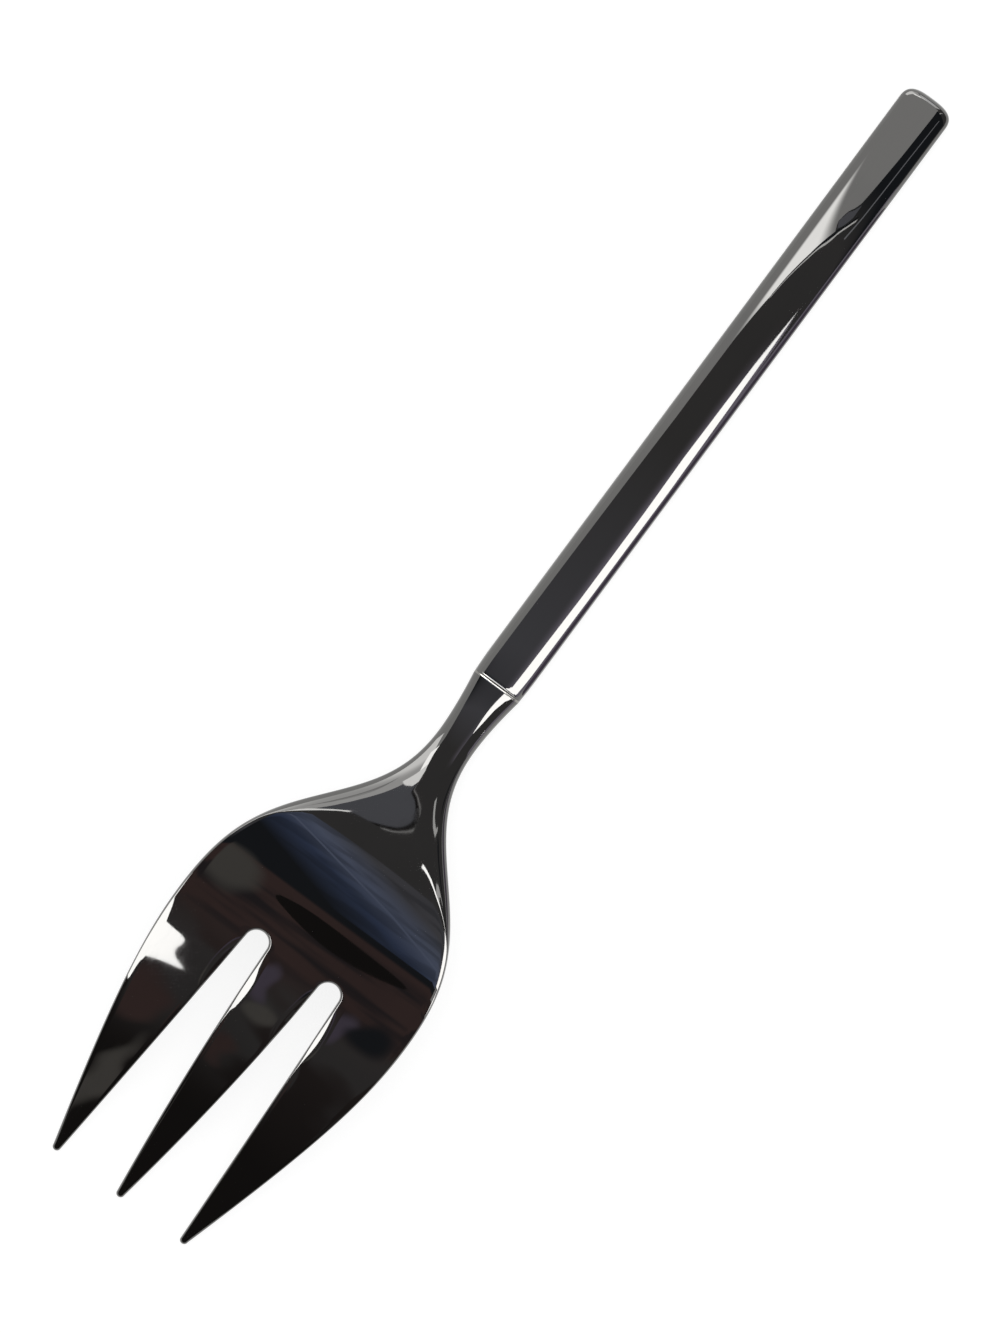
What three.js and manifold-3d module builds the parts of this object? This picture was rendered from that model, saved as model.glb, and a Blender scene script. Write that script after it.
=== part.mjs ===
// Serving fork with a hollow bar handle, lying back up, as it is set down on a table.
// Millimetres, +Z up. +X runs from the butt of the handle to the tips of the tines,
// and the origin is under the middle of the fork, on the table.
// The forged head has a tang, which is bedded in the filled handle. The handle is two
// pressed half-shells, brazed together along their seam and to the head at the mouth.
import * as THREE from "three";
import { mergeVertices } from "three/addons/utils/BufferGeometryUtils.js";
import Module from "manifold-3d";

const wasm = await Module();
wasm.setup();

// Overall sizes
const LENGTH = 235; // butt of the handle to the tips of the tines
const HANDLE_LENGTH = 125.5; // butt to the mouth, where the neck comes out
const FIT = 0.3; // clearance between pieces that sit inside one another

// Handle
const HANDLE_WIDTH = 9.7;
const HANDLE_THICKNESS = 5.6; // at the mouth
const BUTT_THICKNESS = 4.7;
const BUTT_ROUNDING = 3.2; // length over which the butt rounds off in plan
const BUTT_EDGE = 1.4; // length over which the butt rounds off in side view
const BUTT_FLAT = 0.35; // share of the section that is left flat on the butt's end
const MOUTH_TAPER = 5; // length over which the handle draws in to the neck's width
const SEAM_HEIGHT = 2.5; // table to the middle of the seam between the half-shells
const LAND_DEPTH = 0.15; // depth ground off the front to make the flat that it lies on
const BACK_FULLNESS = 2.6; // power of the section's curve on the back, 2 being an ellipse
const FRONT_FULLNESS = 4; // the same on the flatter front
const SHELL_WALL = 0.8;
const SEAM_BRAZE = 0.3; // thickness of the braze between the half-shells
const MOUTH_BRAZE = 0.4; // thickness of the braze between the handle and the neck

// Neck
const SHOULDER_STEP = 0.5; // how far the neck's back lies below the handle's back
const SHOULDER_WIDTH = 9.4; // width of the neck and of the handle where they meet
const WAIST_WIDTH = 7.2; // narrowest place of the neck
const WAIST_DISTANCE = 11.5; // mouth to the waist
const WAIST_TAPER = 1.7; // power of the taper from the mouth to the waist

// Head
const HEAD_WIDTH = 47.4;
const WIDEST_DISTANCE = 50; // tips back to the widest place
const FLARE_BIAS = 0.64; // below 1, the flare from the neck fills out early
const TINE_BEND = 21.6; // how gently the outer edge turns from the palm into the tine
const CREST_HEIGHT = 19; // table to the top of the arched back
const CREST_DISTANCE = 58; // tips back to the crest
const CREST_RADIUS = 62; // radius of the arch at its crest, in side view
const TIP_SLOPE = 24; // degrees below the level at the tips
const PALM_THICKNESS = 2.4;
const PALM_CROWN = 0.9; // how far the palm's rims lie below its middle
const RIM_RADIUS = 0.8; // rounding of the head's outer rim

// Tines
const TINE_LENGTH = 52.3; // bottom of the slots to the tips
const TIP_PITCH = 13.6; // from one tip to the next
const TIP_WIDTH = 1.5;
const TIP_THICKNESS = 1.4;
const SLOT_PITCH = 15.1; // from one slot's root to the other's
const SLOT_ROOT_RADIUS = 2.1;
const TINE_BULGE = 0.55; // how far the middle tine's flanks swell past straight

// Tang, inside the handle
const TANG_LENGTH = 62;
const TANG_WIDTH = 4.2;
const TANG_THICKNESS = 1.4;
const TANG_NOTCHES = 3; // keying notches along each side
const TANG_NOTCH_DEPTH = 0.7;
const FILLER_SETBACK = 1.2; // the filling stops this far inside the mouth

// How finely curves are divided
const SECTION_POINTS = 32;
const HANDLE_STATIONS = 6;
const MOUTH_STATIONS = 3;
const HEAD_STATIONS = 56;
const ARC_SEGMENTS = 8;

const NECK_START = HANDLE_LENGTH + MOUTH_BRAZE;
const WAIST = HANDLE_LENGTH + WAIST_DISTANCE;
const WIDEST = LENGTH - WIDEST_DISTANCE;
const CREST = LENGTH - CREST_DISTANCE;
const TIP_RADIUS = TIP_WIDTH / 2;
const CUTTER_REACH = LENGTH; // long enough for a cutter to pass right through

const lerp = THREE.MathUtils.lerp;
const smoothstep = THREE.MathUtils.smoothstep;

// Materials
const polishedSteel = new THREE.MeshStandardMaterial({ color: 0x4a4b4f, roughness: 0.06, metalness: 1 });
const silverBraze = new THREE.MeshStandardMaterial({ color: 0x8f8d88, roughness: 0.2, metalness: 1 });
const cement = new THREE.MeshStandardMaterial({ color: 0xa39a8b, roughness: 0.9, metalness: 0 });

// Solids

// A closed mesh as a solid that can be joined and cut.
function toSolid(geometry) {
  const bare = geometry.clone();
  bare.deleteAttribute("normal");
  bare.deleteAttribute("uv");
  const merged = mergeVertices(bare, 1e-4);
  return new wasm.Manifold(
    new wasm.Mesh({
      numProp: 3,
      vertProperties: new Float32Array(merged.attributes.position.array),
      triVerts: new Uint32Array(merged.index.array),
    }),
  );
}

// A solid as a named mesh.
function toMesh(name, solid, material) {
  const { vertProperties, triVerts } = solid.getMesh();
  const geometry = new THREE.BufferGeometry();
  geometry.setAttribute("position", new THREE.BufferAttribute(vertProperties, 3));
  geometry.setIndex(new THREE.BufferAttribute(triVerts, 1));
  geometry.computeVertexNormals();
  const mesh = new THREE.Mesh(geometry, material);
  mesh.name = name;
  return mesh;
}

// A solid skinned over closed loops of points, which run anticlockwise seen from +X
// and follow one another towards +X. Its two ends are flat.
function loft(loops) {
  const count = loops[0].length;
  const positions = loops.flat().flatMap((point) => point.toArray());
  const index = [];
  for (let row = 0; row + 1 < loops.length; row++) {
    for (let k = 0; k < count; k++) {
      const a = row * count + k;
      const b = row * count + ((k + 1) % count);
      index.push(a, b, a + count, b, b + count, a + count);
    }
  }
  const last = (loops.length - 1) * count;
  for (let k = 1; k + 1 < count; k++) {
    index.push(0, k + 1, k, last, last + k, last + k + 1);
  }
  const geometry = new THREE.BufferGeometry();
  geometry.setAttribute("position", new THREE.Float32BufferAttribute(positions, 3));
  geometry.setIndex(index);
  return toSolid(geometry);
}

// A flat plan shape made solid from the height bottom to the height top.
function prism(shape, bottom, top) {
  const options = { depth: top - bottom, bevelEnabled: false, curveSegments: ARC_SEGMENTS };
  return toSolid(new THREE.ExtrudeGeometry(shape, options).translate(0, 0, bottom));
}

// A layer of space between two heights, wide enough to hold the whole fork.
function layer(bottom, top) {
  const box = new THREE.BoxGeometry(2 * CUTTER_REACH, 2 * CUTTER_REACH, top - bottom);
  return toSolid(box.translate(0, 0, (bottom + top) / 2));
}

// One cross-section at x. Each half of it is a curve from the rim over the back or the
// front, whose height is sqrt(1 - |q|^fullness) at the share q of the half-width.
function section(x, { halfWidth, rim, back, front, crown = 0, fullness, floor = -Infinity }) {
  const loop = [];
  for (let k = 0; k < SECTION_POINTS; k++) {
    const angle = (2 * Math.PI * k) / SECTION_POINTS;
    const q = Math.cos(angle);
    const upper = Math.sin(angle) >= 0;
    const power = upper ? fullness.back : fullness.front;
    const height = Math.sqrt(Math.max(0, 1 - Math.abs(q) ** power));
    const z = rim + (upper ? back - rim : front - rim) * height - crown * q * q;
    loop.push(new THREE.Vector3(x, halfWidth * q, Math.max(z, floor)));
  }
  return loop;
}

// Values spread evenly from start to end, both included.
function spread(start, end, steps) {
  return Array.from({ length: steps + 1 }, (_, i) => lerp(start, end, i / steps));
}

// Handle shape

// Share of the full section at a distance from the butt, rounding off within a length.
function buttShare(distance, length, power) {
  const near = 1 - Math.min(distance / length, 1);
  return Math.max((1 - near ** power) ** (1 / power), BUTT_FLAT);
}

// The handle's back falls away gently towards the butt.
function handleBack(x) {
  const remaining = 1 - Math.min(x / HANDLE_LENGTH, 1);
  return HANDLE_THICKNESS - (HANDLE_THICKNESS - BUTT_THICKNESS) * remaining ** 2;
}

// The handle's half-width is even, and draws in to the neck's at the mouth.
function handleHalfWidth(x) {
  const nearMouth = Math.max(x - (HANDLE_LENGTH - MOUTH_TAPER), 0) / MOUTH_TAPER;
  return (HANDLE_WIDTH - (HANDLE_WIDTH - SHOULDER_WIDTH) * nearMouth ** 2) / 2;
}

// The handle's section at x, drawn in by inset on every side.
function handleSection(x, inset) {
  const distance = x - inset;
  const height = buttShare(distance, BUTT_EDGE, 2);
  const back = handleBack(x) - inset - SEAM_HEIGHT;
  const front = SEAM_HEIGHT + LAND_DEPTH - inset;
  return section(x, {
    halfWidth: (handleHalfWidth(x) - inset) * buttShare(distance, BUTT_ROUNDING, 3),
    rim: SEAM_HEIGHT,
    back: SEAM_HEIGHT + back * height,
    front: SEAM_HEIGHT - front * height,
    fullness: { back: BACK_FULLNESS, front: FRONT_FULLNESS },
    floor: inset,
  });
}

// The handle's form from its butt to x = end, drawn in by inset.
function handleForm(inset, end) {
  const rounding = [0, 0.03, 0.1, 0.22, 0.38, 0.58, 0.8].map((share) => inset + BUTT_ROUNDING * share);
  const straight = spread(inset + BUTT_ROUNDING, HANDLE_LENGTH - MOUTH_TAPER, HANDLE_STATIONS);
  const drawnIn = spread(HANDLE_LENGTH - MOUTH_TAPER, end, MOUTH_STATIONS).slice(1);
  return loft([...rounding, ...straight, ...drawnIn].map((x) => handleSection(x, inset)));
}

// Head shape

// A curve z(x) of the fifth degree between two places, given height, slope and
// curvature at each, so that neighbouring stretches meet without a break in curvature.
function stretch(from, to) {
  const span = to.x - from.x;
  const [v0, a0] = [from.slope * span, from.curvature * span ** 2];
  const [v1, a1] = [to.slope * span, to.curvature * span ** 2];
  const rise = to.z - from.z - v0 - a0 / 2;
  const turn = v1 - v0 - a0;
  const bend = a1 - a0;
  const cubic = 10 * rise - 4 * turn + bend / 2;
  const quartic = -15 * rise + 7 * turn - bend;
  const quintic = 6 * rise - 3 * turn + bend / 2;
  return (x) => {
    const t = (x - from.x) / span;
    return from.z + v0 * t + (a0 / 2) * t ** 2 + cubic * t ** 3 + quartic * t ** 4 + quintic * t ** 5;
  };
}

// The back's line in side view: level at the mouth, up to the crest and down to the tips.
const mouthEnd = { x: NECK_START, z: HANDLE_THICKNESS - SHOULDER_STEP, slope: 0, curvature: 0 };
const crestTop = { x: CREST, z: CREST_HEIGHT, slope: 0, curvature: -1 / CREST_RADIUS };
const tipSlope = -Math.tan(THREE.MathUtils.degToRad(TIP_SLOPE));
const tipEnd = { x: LENGTH, z: TIP_THICKNESS, slope: tipSlope, curvature: 0 };
const neckRise = stretch(mouthEnd, crestTop);
const tineFall = stretch(crestTop, tipEnd);
const backLine = (x) => (x < CREST ? neckRise(x) : tineFall(x));

// Thickness: full at the mouth, thinned to the palm, and thinned again towards the tips.
function thickness(x) {
  const forged = lerp(mouthEnd.z, PALM_THICKNESS, smoothstep(x, NECK_START, CREST));
  const drawn = smoothstep(x, CREST, LENGTH) * (PALM_THICKNESS - TIP_THICKNESS);
  return forged - drawn;
}

// Half-width in plan: the neck's taper, the flare into the palm, then the tines' outer edge.
function planHalfWidth(x) {
  const waist = WAIST_WIDTH / 2;
  const palm = HEAD_WIDTH / 2;
  if (x < WAIST) {
    const along = (x - NECK_START) / (WAIST - NECK_START);
    return waist + (SHOULDER_WIDTH / 2 - waist) * (1 - along) ** WAIST_TAPER;
  }
  if (x < WIDEST) {
    const along = (x - WAIST) / (WIDEST - WAIST);
    const flared = along ** 2 / (along ** 2 + FLARE_BIAS * (1 - along) ** 2);
    return lerp(waist, palm, flared);
  }
  const turn = (distance) => Math.hypot(distance, TINE_BEND) - TINE_BEND;
  const tip = TIP_PITCH + TIP_RADIUS;
  return palm - ((palm - tip) * turn(x - WIDEST)) / turn(WIDEST_DISTANCE - TIP_RADIUS);
}

// The head's section at x: a rounded bar at the neck, and a crowned plate at the palm.
function headSection(x) {
  const halfWidth = planHalfWidth(x);
  const back = backLine(x);
  const front = back - thickness(x);
  const flattened = smoothstep(x, NECK_START, WIDEST);
  const plateFullness = (8 * RIM_RADIUS * halfWidth) / thickness(x) ** 2;
  const crown = PALM_CROWN * smoothstep(x, WAIST, WIDEST) * (1 - smoothstep(x, WIDEST, LENGTH));
  return section(x, {
    halfWidth,
    rim: lerp(SEAM_HEIGHT, (back + front) / 2, smoothstep(x, NECK_START, WAIST)),
    back,
    front,
    crown,
    fullness: {
      back: Math.max(BACK_FULLNESS, lerp(BACK_FULLNESS, plateFullness, flattened)),
      front: Math.max(BACK_FULLNESS, lerp(FRONT_FULLNESS, plateFullness, flattened)),
    },
  });
}

// Everything beyond the three tips and between them: the blanking cutter for the tines.
function tineCutter() {
  const tipCentre = LENGTH - TIP_RADIUS;
  const rootCentre = LENGTH - TINE_LENGTH + SLOT_ROOT_RADIUS;
  const slot = SLOT_PITCH / 2;
  const halfTurn = Math.PI / 2;
  const outerAngle = THREE.MathUtils.degToRad(75);
  const beyond = LENGTH + CUTTER_REACH;
  const swell = slot - SLOT_ROOT_RADIUS;
  const controlX = (tipCentre + rootCentre) / 2;
  const controlY = (TIP_RADIUS + swell) / 2 + 2 * TINE_BULGE;
  const reach = new THREE.Vector2(Math.cos(outerAngle), Math.sin(outerAngle)).multiplyScalar(CUTTER_REACH);
  const shape = new THREE.Shape();
  shape.moveTo(beyond, TIP_PITCH + reach.y);
  shape.lineTo(tipCentre + reach.x, TIP_PITCH + reach.y);
  shape.absarc(tipCentre, TIP_PITCH, TIP_RADIUS, outerAngle, -halfTurn, true);
  shape.absarc(rootCentre, slot, SLOT_ROOT_RADIUS, halfTurn, 3 * halfTurn, false);
  shape.quadraticCurveTo(controlX, controlY, tipCentre, TIP_RADIUS);
  shape.absarc(tipCentre, 0, TIP_RADIUS, halfTurn, -halfTurn, true);
  shape.quadraticCurveTo(controlX, -controlY, rootCentre, -swell);
  shape.absarc(rootCentre, -slot, SLOT_ROOT_RADIUS, halfTurn, 3 * halfTurn, false);
  shape.absarc(tipCentre, -TIP_PITCH, TIP_RADIUS, halfTurn, -outerAngle, true);
  shape.lineTo(tipCentre + reach.x, -TIP_PITCH - reach.y);
  shape.lineTo(beyond, -TIP_PITCH - reach.y);
  return prism(shape, -CUTTER_REACH, CUTTER_REACH);
}

// The tang's plan outline with its keying notches, grown by a clearance on every side.
function tangOutline(grow, end) {
  const half = TANG_WIDTH / 2 + grow;
  const start = HANDLE_LENGTH - TANG_LENGTH - grow;
  const pitch = TANG_LENGTH / (2 * TANG_NOTCHES + 2);
  const side = [[start, half]];
  for (let i = 0; i < TANG_NOTCHES; i++) {
    const notchStart = HANDLE_LENGTH - TANG_LENGTH + pitch * (2 * i + 1) + grow;
    const notchEnd = notchStart + pitch - 2 * grow;
    const floor = half - TANG_NOTCH_DEPTH;
    side.push([notchStart, half], [notchStart, floor], [notchEnd, floor], [notchEnd, half]);
  }
  side.push([end, half]);
  const mirrored = side.map(([x, y]) => [x, -y]).reverse();
  return new THREE.Shape([...mirrored, ...side].map(([x, y]) => new THREE.Vector2(x, y)));
}

// The tang as a solid up to x = end, grown by a clearance.
function tang(grow, end) {
  const half = TANG_THICKNESS / 2 + grow;
  return prism(tangOutline(grow, end), SEAM_HEIGHT - half, SEAM_HEIGHT + half);
}

// Pieces

// The head, from the tang inside the handle to the tips of the tines.
function forkHead() {
  const neckToTips = loft(spread(NECK_START, LENGTH, HEAD_STATIONS).map(headSection));
  const head = neckToTips.subtract(tineCutter());
  const rooted = tang(0, WAIST);
  return toMesh("fork_head", head.add(rooted), polishedSteel);
}

// The hollow handle, cut along its seam into two half-shells and the braze between them.
function handleShells() {
  const hollow = handleForm(0, HANDLE_LENGTH).subtract(handleForm(SHELL_WALL, HANDLE_LENGTH + SHELL_WALL));
  const seamBottom = SEAM_HEIGHT - SEAM_BRAZE / 2;
  const seamTop = SEAM_HEIGHT + SEAM_BRAZE / 2;
  return [
    toMesh("handle_back_shell", hollow.intersect(layer(seamTop, CUTTER_REACH)), polishedSteel),
    toMesh("seam_braze", hollow.intersect(layer(seamBottom, seamTop)), silverBraze),
    toMesh("handle_front_shell", hollow.intersect(layer(-CUTTER_REACH, seamBottom)), polishedSteel),
  ];
}

// The braze at the mouth: a thin plate in the neck's outline, with a slot for the tang.
function mouthBraze() {
  const outline = headSection(NECK_START);
  const near = outline.map((point) => point.clone().setX(HANDLE_LENGTH));
  const plate = loft([near, outline]);
  const piece = plate.subtract(tang(FIT, NECK_START + CUTTER_REACH));
  return toMesh("mouth_braze", piece, silverBraze);
}

// The filling that beds the tang in the handle.
function handleFiller() {
  const inset = SHELL_WALL + FIT;
  const core = handleForm(inset, HANDLE_LENGTH - FILLER_SETBACK);
  return toMesh("handle_filler", core.subtract(tang(FIT, HANDLE_LENGTH)), cement);
}

const fork = new THREE.Group();
fork.add(forkHead(), ...handleShells(), mouthBraze(), handleFiller());
fork.position.x = -LENGTH / 2;

export default fork;
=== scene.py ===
"""Serving fork with a hollow bar handle, lying back up on a pale studio floor.

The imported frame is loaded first, and every new piece stands where its solid stands.
Forms are in millimetres, with x running from the butt of the handle to the tips of the
tines and z up from the table. A surface that becomes an object is turned into metres,
with the origin under the middle of the fork.
"""

from __future__ import annotations

import logging
import math
from dataclasses import dataclass, field
from enum import Enum
from typing import Any

import bmesh
import bpy
import numpy as np
from mathutils import Matrix, Vector

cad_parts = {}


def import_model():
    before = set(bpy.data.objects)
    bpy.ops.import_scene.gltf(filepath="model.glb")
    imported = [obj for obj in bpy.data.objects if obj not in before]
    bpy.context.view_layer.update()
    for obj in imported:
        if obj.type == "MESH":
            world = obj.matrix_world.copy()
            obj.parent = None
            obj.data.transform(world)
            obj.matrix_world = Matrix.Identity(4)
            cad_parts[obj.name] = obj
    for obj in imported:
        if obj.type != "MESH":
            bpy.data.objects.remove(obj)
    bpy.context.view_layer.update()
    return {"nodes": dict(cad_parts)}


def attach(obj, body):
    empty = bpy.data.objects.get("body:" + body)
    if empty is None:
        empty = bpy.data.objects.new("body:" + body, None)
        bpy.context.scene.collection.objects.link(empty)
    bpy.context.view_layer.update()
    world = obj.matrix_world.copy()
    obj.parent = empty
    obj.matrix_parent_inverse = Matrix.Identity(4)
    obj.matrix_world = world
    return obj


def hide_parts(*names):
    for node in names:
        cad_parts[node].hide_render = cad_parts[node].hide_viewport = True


LOG = logging.getLogger("serving_fork")

MM = 0.001
FORK_LENGTH = 235.0
BODY = "root"
WELD_DISTANCE = 5e-8
QUARTER = math.pi / 2
SLOPE_STEP = 0.01


class Half(Enum):
    """The halves of the fork's section: the back, which faces up here, and the front."""

    BACK = 1
    FRONT = -1


class Slot(Enum):
    """Names of the material slots."""

    POLISHED_STEEL = "polished_steel"
    SILVER_BRAZE = "silver_braze"
    FILLER_CEMENT = "filler_cement"


class Axis(Enum):
    """The frame's axes, numbered as the coordinates of a place are."""

    X = 0
    Y = 1
    Z = 2


# Small maths


def lerp(start: Any, end: Any, share: Any) -> Any:
    """The value that lies at a share of the way from start to end."""
    return start + (end - start) * share


def smoothstep(x: Any, start: float, end: float) -> Any:
    """A smooth rise from 0 at start to 1 at end, level at both."""
    t = np.clip((x - start) / (end - start), 0.0, 1.0)
    return t * t * (3.0 - 2.0 * t)


def rounded(distance: Any, width: Any, power: Any) -> Any:
    """Share of the full height at a distance from an edge that is rounded over a width.

    The share is sqrt(1 - (1 - distance / width) ** power), and 1 beyond the width.

    Args:
        distance: distance from the edge, in plan.
        width: width of the rounding.
        power: 2 for an ellipse, and higher for a fuller curve.

    Returns:
        The share, from 0 on the edge to 1.
    """
    near = 1.0 - np.clip(distance / width, 0.0, 1.0)
    return np.sqrt(1.0 - near**power)


def signed_power(value: np.ndarray, power: float) -> np.ndarray:
    """A power of the size of a value, with the value's sign."""
    return np.sign(value) * np.abs(value) ** power


@dataclass(frozen=True)
class CurveEnd:
    """One end of a stretch of a line in side view: its place, slope and curvature."""

    x: float
    z: float
    slope: float = 0.0
    curvature: float = 0.0

    def stretch_to(self, other: CurveEnd, x: np.ndarray) -> np.ndarray:
        """Height of the curve of the fifth degree that meets both ends.

        Args:
            other: the end at the greater x.
            x: where the heights are wanted.

        Returns:
            The heights, which meet place, slope and curvature at both ends.
        """
        span = other.x - self.x
        t = (x - self.x) / span
        speed, pull = self.slope * span, self.curvature * span**2
        rise = other.z - self.z - speed - pull / 2
        turn = other.slope * span - speed - pull
        bend = other.curvature * span**2 - pull
        cubic = 10 * rise - 4 * turn + bend / 2
        quartic = -15 * rise + 7 * turn - bend
        quintic = 6 * rise - 3 * turn + bend / 2
        return self.z + speed * t + pull / 2 * t**2 + cubic * t**3 + quartic * t**4 + quintic * t**5


# Surfaces


@dataclass
class Surface:
    """Four-sided faces over points in millimetres, x being measured from the butt."""

    points: np.ndarray
    corners: np.ndarray

    @classmethod
    def grid(cls, points: np.ndarray, closed: bool = False) -> Surface:
        """A surface over a grid of points.

        Args:
            points: array of rows, columns and 3 coordinates.
            closed: whether the last column joins the first.

        Returns:
            The surface, with one face between each four neighbours.
        """
        rows, columns, _ = points.shape
        index = np.arange(rows * columns).reshape(rows, columns)
        if closed:
            index = np.hstack([index, index[:, :1]])
        corners = np.stack(
            [index[:-1, :-1], index[:-1, 1:], index[1:, 1:], index[1:, :-1]], axis=-1
        )
        return cls(points.reshape(-1, 3), corners.reshape(-1, 4))

    def __add__(self, other: Surface) -> Surface:
        """Both surfaces as one."""
        return Surface(
            np.vstack([self.points, other.points]),
            np.vstack([self.corners, other.corners + len(self.points)]),
        )

    def as_object(self, name: str, crease: float = 38.0) -> bpy.types.Object:
        """Makes a welded, smooth-shaded object of the surface, in metres.

        Args:
            name: name of the piece.
            crease: angle in degrees past which an edge is shown sharp.

        Returns:
            The object, at the origin, with its faces pointing outwards.
        """
        mesh = bpy.data.meshes.new(name)
        count = len(self.corners)
        mesh.vertices.add(len(self.points))
        placed = (self.points - (FORK_LENGTH / 2, 0.0, 0.0)) * MM
        mesh.vertices.foreach_set("co", placed.astype(np.float32).ravel())
        mesh.loops.add(4 * count)
        mesh.loops.foreach_set("vertex_index", self.corners.astype(np.int32).ravel())
        mesh.polygons.add(count)
        mesh.polygons.foreach_set("loop_start", np.arange(0, 4 * count, 4, dtype=np.int32))
        mesh.update(calc_edges=True)
        weld = bmesh.new()
        weld.from_mesh(mesh)
        bmesh.ops.remove_doubles(weld, verts=weld.verts, dist=WELD_DISTANCE)
        bmesh.ops.recalc_face_normals(weld, faces=weld.faces)
        weld.to_mesh(mesh)
        weld.free()
        mesh.polygons.foreach_set("use_smooth", np.ones(len(mesh.polygons), dtype=bool))
        mesh.set_sharp_from_angle(angle=math.radians(crease))
        piece = bpy.data.objects.new(name, mesh)
        bpy.context.scene.collection.objects.link(piece)
        return piece


def place(piece: bpy.types.Object, node: str, finish: bpy.types.Material) -> None:
    """Puts a piece in a solid's place, on its body and its finish.

    Args:
        piece: the new piece.
        node: the solid that it replaces.
        finish: its material.
    """
    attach(piece, BODY)
    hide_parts(node)
    piece.data.materials.append(finish)
    LOG.info("%s: %d faces, in place of %s", piece.name, len(piece.data.polygons), node)


# Finishes


class Number:
    """A number that varies over a surface. Arithmetic on it adds Math nodes."""

    def __init__(self, sheet: NodeSheet, socket: bpy.types.NodeSocket) -> None:
        """Wraps an output socket of a node sheet."""
        self.sheet = sheet
        self.socket = socket

    def _math(self, operation: str, *values: Any) -> Number:
        """The outcome of a Math node on the values."""
        return self.sheet.number("ShaderNodeMath", {"operation": operation}, dict(enumerate(values)))

    def __add__(self, other: Any) -> Number:
        """The sum."""
        return self._math("ADD", self, other)

    __radd__ = __add__

    def __sub__(self, other: Any) -> Number:
        """The difference."""
        return self._math("SUBTRACT", self, other)

    def __rsub__(self, other: Any) -> Number:
        """The difference, from a plain number."""
        return self._math("SUBTRACT", other, self)

    def __mul__(self, other: Any) -> Number:
        """The product."""
        return self._math("MULTIPLY", self, other)

    __rmul__ = __mul__

    def larger(self, other: Any) -> Number:
        """The larger of two values."""
        return self._math("MAXIMUM", self, other)

    def stepped(self, start: float, end: float) -> Number:
        """A smooth rise from 0 where the value is start to 1 where it is end."""
        settings = {"interpolation_type": "SMOOTHSTEP"}
        return self.sheet.number("ShaderNodeMapRange", settings, {0: self, 1: start, 2: end})


class NodeSheet:
    """The node tree of a material or of the world, and the one way to add a node to it."""

    def __init__(self, tree: bpy.types.NodeTree) -> None:
        """Empties the tree."""
        self.tree = tree
        tree.nodes.clear()

    def node(
        self, kind: str, settings: dict[str, Any] | None = None, inputs: dict[Any, Any] | None = None
    ) -> bpy.types.Node:
        """Adds a node.

        Args:
            kind: the node's type.
            settings: its settings, set first; "stops" are a ramp's positions and colours.
            inputs: values or links by the socket's name or number.

        Returns:
            The node.
        """
        node = self.tree.nodes.new(kind)
        for name, value in (settings or {}).items():
            if name == "stops":
                self._set_stops(node.color_ramp, value)
            else:
                setattr(node, name, value)
        for key, value in (inputs or {}).items():
            source = value.socket if isinstance(value, Number) else value
            if isinstance(source, bpy.types.NodeSocket):
                self.tree.links.new(source, node.inputs[key])
            else:
                node.inputs[key].default_value = source
        return node

    def number(self, kind: str, settings: dict[str, Any] | None, inputs: dict[Any, Any]) -> Number:
        """Adds a node and wraps its first output as a number."""
        return Number(self, self.node(kind, settings, inputs).outputs[0])

    @staticmethod
    def _set_stops(ramp: bpy.types.ColorRamp, stops: list[tuple[float, tuple]]) -> None:
        """Gives a colour ramp its stops.

        Args:
            ramp: the new ramp, which starts with two stops.
            stops: a position and a colour for each stop.
        """
        while len(ramp.elements) < len(stops):
            ramp.elements.new(0.5)
        for element, (position, colour) in zip(ramp.elements, stops):
            element.position = position
            element.color = (*colour, 1.0)

    def object_place(self) -> bpy.types.NodeSocket:
        """The place on the object, in metres."""
        return self.node("ShaderNodeTexCoord").outputs["Object"]

    def coordinate(self, axis: Axis) -> Number:
        """The place on the object along one axis, in metres."""
        axes = self.node("ShaderNodeSeparateXYZ", None, {0: self.object_place()})
        return Number(self, axes.outputs[axis.value])

    def noise(self, place_socket: Any, scale: float, detail: float, draw: tuple = (1, 1, 1)) -> Number:
        """Noise over the object.

        Args:
            place_socket: the place that it is read at.
            scale: lumps per metre.
            detail: how many finer layers it has.
            draw: share of the scale along x, y and z, so that lumps can be drawn out.

        Returns:
            The noise, about 0.5.
        """
        mapped = self.node("ShaderNodeMapping", None, {"Vector": place_socket, "Scale": draw})
        inputs = {"Vector": mapped.outputs[0], "Scale": scale, "Detail": detail}
        return self.number("ShaderNodeTexNoise", None, inputs)

    def blend(self, share: Any, first: Any, second: Any) -> bpy.types.NodeSocket:
        """A colour that is mixed from two by a share."""
        mix = self.node("ShaderNodeMix", {"data_type": "RGBA"}, {0: share, 6: first, 7: second})
        return mix.outputs[2]

    def surface(self, shader: bpy.types.Node) -> None:
        """Joins a shader to the material's output."""
        self.node("ShaderNodeOutputMaterial", None, {"Surface": shader.outputs[0]})

    def bumped(
        self, inputs: dict[str, Any], height: Number, depth: float, strength: float = 1.0
    ) -> None:
        """Makes the material's surface of the main shader and a bump.

        Args:
            inputs: the shader's values or links by the socket's name.
            height: the bump's height, from 0 to 1.
            depth: the height of 1, in metres.
            strength: share of the bump that shows.
        """
        relief = {"Height": height, "Distance": depth, "Strength": strength}
        bump = self.node("ShaderNodeBump", None, relief)
        self.surface(self.node("ShaderNodeBsdfPrincipled", None, inputs | {"Normal": bump.outputs[0]}))


def new_material(name: str) -> tuple[bpy.types.Material, NodeSheet]:
    """Makes a material.

    Args:
        name: its name.

    Returns:
        The material and its empty node sheet.
    """
    material = bpy.data.materials.new(name)
    material.use_nodes = True
    return material, NodeSheet(material.node_tree)


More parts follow.
